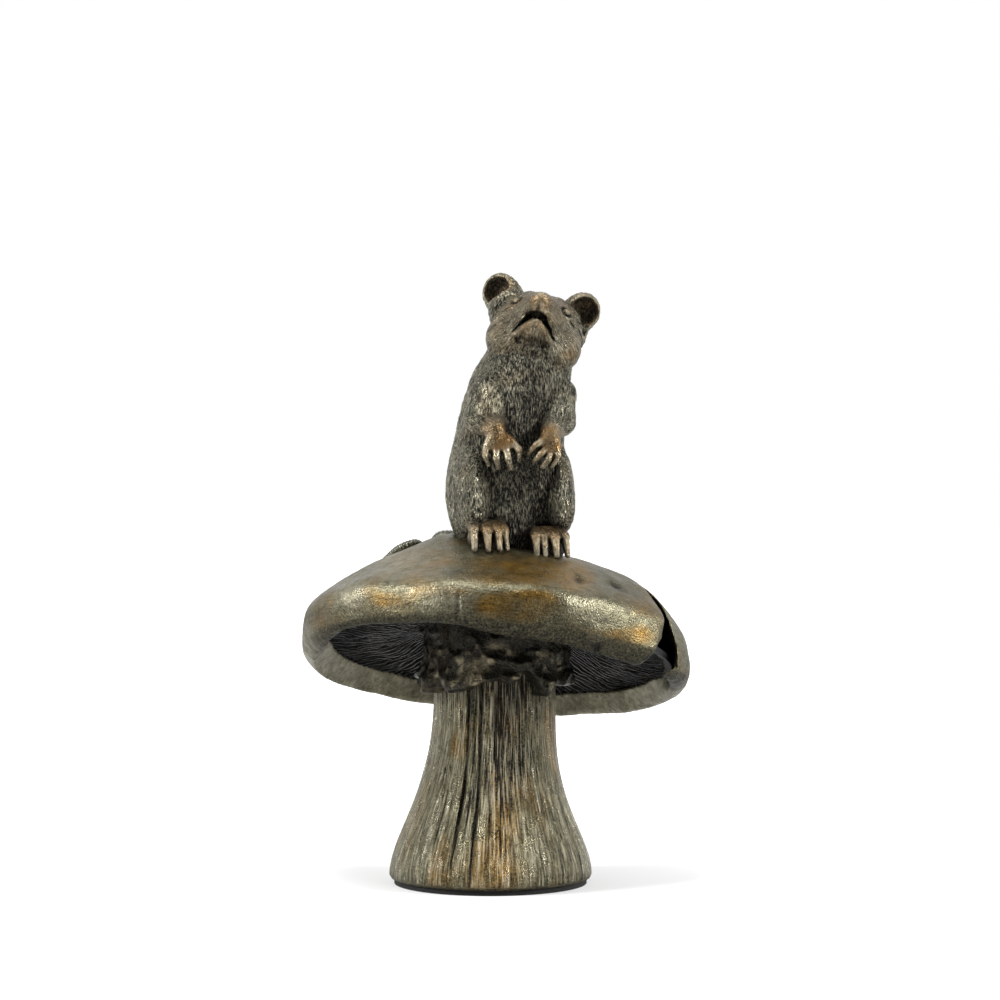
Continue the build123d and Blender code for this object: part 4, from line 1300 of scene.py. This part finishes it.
mouse_bronze = patina(
    "mouse_bronze", (0.104, 0.103, 0.077), (0.19, 0.11, 0.04), (0.003, 0.003, 0.0025), (0.47, 0.43, 0.31),
    roughness=0.25, grain=0.36, grain_height=0.08, speckle=0.36, strokes=(4.5, 0.62, 0.78, 0.24),
)
for name in mouse_pieces:
    low, high = [np.array(corner) * 1000 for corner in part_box(name)]
    step = torso_step if name == "mouse_torso" else mouse_step
    points, faces = skin_of(piece_field(name), low - mouse_margin, high + mouse_margin, step)
    faces = outward(points, faces)
    normals = slope_of(whole_mouse, points, 0.12)
    forms, whole = mouse_forms(points)
    hair = bare_places(points, forms)
    way = fur_way(points, forms)
    way = way - np.einsum("ij,ij->i", way, normals)[:, None] * normals
    way = way / (np.linalg.norm(way, axis=-1, keepdims=True) + 1e-9)
    fine = strokes(points, way, 0.36, 1.0, 81)
    broad = strokes(points, way, 0.95, 2.0, 82)
    relief = hair * (0.12 * fine + 0.05 * broad) + 0.03 * lumps(points, 0.8, 83)
    # Painted shade in creases and between pieces, where other skin lies close outside; weaker round the
    # mouth.
    nook_shade = np.zeros(len(points))
    for reach_out, share in ((0.9, 0.5), (2.6, 0.5)):
        nook_shade += share * np.clip(1 - whole_mouse(points + normals * reach_out) / reach_out, 0, 1)
    head_place = (points - head_centre) @ head_frame
    nook_shade *= 1 - 0.5 * spot(np.linalg.norm(head_place - np.array([0, 9.5, -2.5]), axis=-1), 4.0)
    # Painted shade where the mouse's skin lies close over the cap.
    ground = np.clip(1 - cap_field(points + normals * 1.5) / 3.0, 0, 1) * (points[:, 2] < 84)
    sharp = soft_step(1 + whole_mouse(points - normals * 1.3) / 1.3, 0.08, 0.7)
    ear_cups = ear_cups_of(points)
    # Painted shade on the belly, the chest between the forelegs and the throat.
    dim = painted_shade_places(points, forms)
    # Painted highlights on the tip of the nose, and in patches on the forelegs and haunches.
    painted_gleam = 0.6 * spot(np.linalg.norm(head_place - np.array([0, 12.6, 1.2]), axis=-1), 1.5)
    if name.startswith(("foreleg", "haunch")):
        painted_gleam += 0.3 * soft_step(lumps(points, 3.0, 86), -0.3, 0.6)
    valley = np.clip(-0.9 * fine - 0.15 * broad, 0, 1)
    warm = 0.05 + 0.8 * (1 - hair) + 0.35 * soft_step(lumps(points, 4, 84), 0.1, 0.8)
    # Dark patina in the fur's grooves, with the painted shade of creases, of the cap close below, and of
    # belly, chest and throat; the ear hollows are darker too.
    shade = 1.7 * np.maximum(nook_shade - 0.06, 0) + 0.9 * valley * hair + 1.1 * ground
    shade = shade + dim + 0.6 * ear_cups + 0.05
    # Rubbed paws, toes and fur crests, with the painted highlights; both fade in the painted shade and the
    # ear hollows.
    rub_and_glint = painted_gleam + 0.5 * sharp * (1 - 0.8 * hair) + 0.3 * hair * np.clip(fine + 0.5 * broad, 0, 1)
    rub_and_glint = rub_and_glint * (1 - 1.6 * nook_shade) * (1 - ear_cups) * (1 - 0.6 * dim)
    finishes = {
        "ochre": np.clip(warm, 0, 1),
        "fur": hair * (1 - 0.8 * dim),
        "lie": lying(points, name),
        "hollow": np.clip(shade, 0, 1),
        "rub_and_highlight": np.clip(rub_and_glint, 0, 1),
    }
    past = forms[name] - np.min(np.stack([values for key, values in forms.items() if key != name]), axis=0)
    points = points + normals * (relief * (past < 0.8))[:, None]
    piece = cast_piece(name.replace("mouse_", "") + "_casting", points, faces, finishes, mouse_bronze)
    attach(piece, "root")
    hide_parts(name)

# The tail is a bronze rope with fine rings, laid in waves over the back of the cap.
tail_sizes = {"Radius": 1.75, "Tip share": 0.4, "Rings": 70.0, "Ring depth": 0.07, "Rows": 420, "Columns": 24}
tail_shade = 0.22
# Places along the tail: shares of the cap's radius to its side and back, and how high it lies over the cap.
tail_marks = (
    (0.03, 0.16, 2.0),
    (-0.12, 0.25, 2.2),
    (-0.26, 0.07, 3.6),
    (-0.355, 0.17, 2.9),
    (-0.45, 0.02, 2.6),
    (-0.56, 0.11, 1.9),
    (-0.64, 0.27, 1.6),
)
tail_line = bpy.data.curves.new("tail_line", "CURVE")
tail_line.dimensions = "3D"
tail_spline = tail_line.splines.new("BEZIER")
tail_spline.bezier_points.add(len(tail_marks) - 1)
tail_spline.resolution_u = 24
for point, (side, back, lift) in zip(tail_spline.bezier_points, tail_marks):
    x, y = cap_place[0] + side * cap_radius, cap_place[1] + back * cap_radius
    point.co = (x, y, crown_height((x, y)) + lift)
    point.handle_left_type = point.handle_right_type = "AUTO"
tail_curve = bpy.data.objects.new("tail_curve", tail_line)
bpy.context.collection.objects.link(tail_curve)
tree, given, result = node_tree("tail_tree", tail_sizes)
size = given.outputs
even_curve = {"Curve": given.outputs["Geometry"], "Count": size["Rows"]}
even_curve = add_node(tree, "GeometryNodeResampleCurve", even_curve).outputs[0]
along = add_node(tree, "GeometryNodeSplineParameter").outputs["Factor"]
taper = calc("SUBTRACT", 1.0, calc("MULTIPLY", along, calc("SUBTRACT", 1.0, size["Tip share"])))
ring_wave = calc("SINE", calc("MULTIPLY", along, calc("MULTIPLY", size["Rings"], 2 * pi)))
thick = calc("ADD", calc("MULTIPLY", size["Radius"], taper), calc("MULTIPLY", ring_wave, size["Ring depth"]))
tail_path = add_node(tree, "GeometryNodeSetCurveRadius", {"Curve": even_curve, "Radius": thick}).outputs[0]
section = {"Resolution": size["Columns"], "Radius": 1.0}
section = add_node(tree, "GeometryNodeCurvePrimitiveCircle", section).outputs[0]
tube = {"Curve": tail_path, "Profile Curve": section, "Scale": thick, "Fill Caps": True}
tube = add_node(tree, "GeometryNodeCurveToMesh", tube).outputs[0]
tube = stored(tree, tube, "hollow", tail_shade)
tube = add_node(tree, "GeometryNodeSetShadeSmooth", {0: tube}).outputs[0]
tube = add_node(tree, "GeometryNodeSetMaterial", {"Geometry": tube, "Material": mouse_bronze}).outputs[0]
tree.links.new(tube, result.inputs[0])
tail = bpy.data.objects.new("tail_casting", plain_mesh(tail_curve, tree, tail_sizes))
bpy.data.objects.remove(tail_curve)
bpy.context.collection.objects.link(tail)
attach(tail, "root")
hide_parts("tail")

# Under the mouse a steel stud, washer and nut clamp mouse, cap and stem, and steel pins stop them turning.
# They are bright turned steel with fine rings from the tool, and keep the shape of their solids.
steel, tree, shader, stain = speckled("turned_steel", 500, 2.0, (0.42, 0.42, 0.43), (0.62, 0.62, 0.61), 0.5)
tool_rings = {"Vector": own_place(tree), "Scale": 900, "Distortion": 1.5}
tool_rings = add_node(tree, "ShaderNodeTexWave", tool_rings, bands_direction="Z").outputs["Fac"]
set_inputs(tree, shader, {
    "Metallic": 1.0,
    "Roughness": ranged(tree, stain, 0.0, 1.0, 0.22, 0.42),
    "Normal": bumped(tree, tool_rings, 0.00002),
})
dress(["tie_stud", "stud_washer", "stud_nut", "cap_key_pin", "foot_pin_left", "foot_pin_right"], steel)

# The studio: a pale floor that fades into a white wall of light, two large soft lamps in front and one above.
floor_reach = 6
floor_corners = [(-floor_reach, -floor_reach, 0), (floor_reach, -floor_reach, 0)]
floor_corners += [(floor_reach, floor_reach, 0), (-floor_reach, floor_reach, 0)]
floor_mesh = bpy.data.meshes.new("floor")
floor_mesh.from_pydata(floor_corners, [], [(0, 1, 2, 3)])
floor = bpy.data.objects.new("floor", floor_mesh)
bpy.context.collection.objects.link(floor)
paper, tree, shader = new_material("white_paper")
seen = add_node(tree, "ShaderNodeLightPath").outputs["Is Camera Ray"]
far = vector_math("LENGTH", {0: own_place(tree)})["Value"]
# The floor glows for camera rays as a white backdrop, but less near the figurine, which paints a soft darker
# patch round its foot.
set_inputs(tree, shader, {
    "Base Color": (0.62, 0.62, 0.62, 1),
    "Roughness": 0.9,
    "Emission Color": (1, 1, 1, 1),
    "Emission Strength": tree_math(tree, "MULTIPLY", seen, ranged(tree, far, 0.04, 0.3, 0.36, 0.95)),
})
floor_mesh.materials.append(paper)

# The room is a white tent: bright above, behind and at both sides, and dim where the camera looks in.
world = bpy.data.worlds.new("white_tent")
world.use_nodes = True
tree = world.node_tree
way_out = add_node(tree, "ShaderNodeTexCoord").outputs["Generated"]
way_out = add_node(tree, "ShaderNodeSeparateXYZ", {0: way_out}).outputs
sideways = calc("ABSOLUTE", way_out["X"])
tent_light = 0.05
# Each wall of light has the direction that it lies in, where it starts and is full, and its strength.
for direction, start, full, strength in (
    (sideways, 0.5, 0.97, 0.8),
    (way_out["Y"], 0.0, 0.8, 0.7),
    (way_out["Z"], 0.35, 0.95, 0.6),
):
    wall_light = ranged(tree, direction, start, full, 0.0, strength, interpolation_type="SMOOTHSTEP")
    tent_light = calc("ADD", wall_light, tent_light)
seen = add_node(tree, "ShaderNodeLightPath").outputs["Is Camera Ray"]
tent = {"Color": (1, 1, 1, 1), "Strength": calc("MAXIMUM", tent_light, seen)}
set_inputs(tree, tree.nodes["Background"], tent)
bpy.context.scene.world = world


def lamp(name, place, aim, size, watts):
    """A square soft lamp that looks at a point."""
    light = bpy.data.lights.new(name, "AREA")
    light.size = size
    light.energy = watts
    lamp_object = bpy.data.objects.new(name, light)
    lamp_object.location = place
    direction = Vector(aim) - Vector(place)
    lamp_object.rotation_euler = direction.to_track_quat("-Z", "Y").to_euler()
    bpy.context.collection.objects.link(lamp_object)


waist = (0, 0, 0.07)
lamp("left_lamp", (-0.76, -0.26, 0.46), waist, 0.20, 6.5)
lamp("right_lamp", (0.78, -0.22, 0.42), waist, 0.20, 6.5)
lamp("top_lamp", (-0.10, -0.20, 0.85), waist, 0.22, 3.0)

# The camera stands level in front of the figurine, a little above its waist.
camera_data = bpy.data.cameras.new("camera")
camera_data.sensor_width = 36
camera_data.lens = camera_data.sensor_width * 2.673
camera = bpy.data.objects.new("camera", camera_data)
camera.location = (0.00203, -0.5725, 0.0818)
camera.rotation_euler = (pi / 2, 0, 0)
bpy.context.collection.objects.link(camera)
bpy.context.scene.camera = camera
bpy.context.scene.view_settings.view_transform = "Standard"
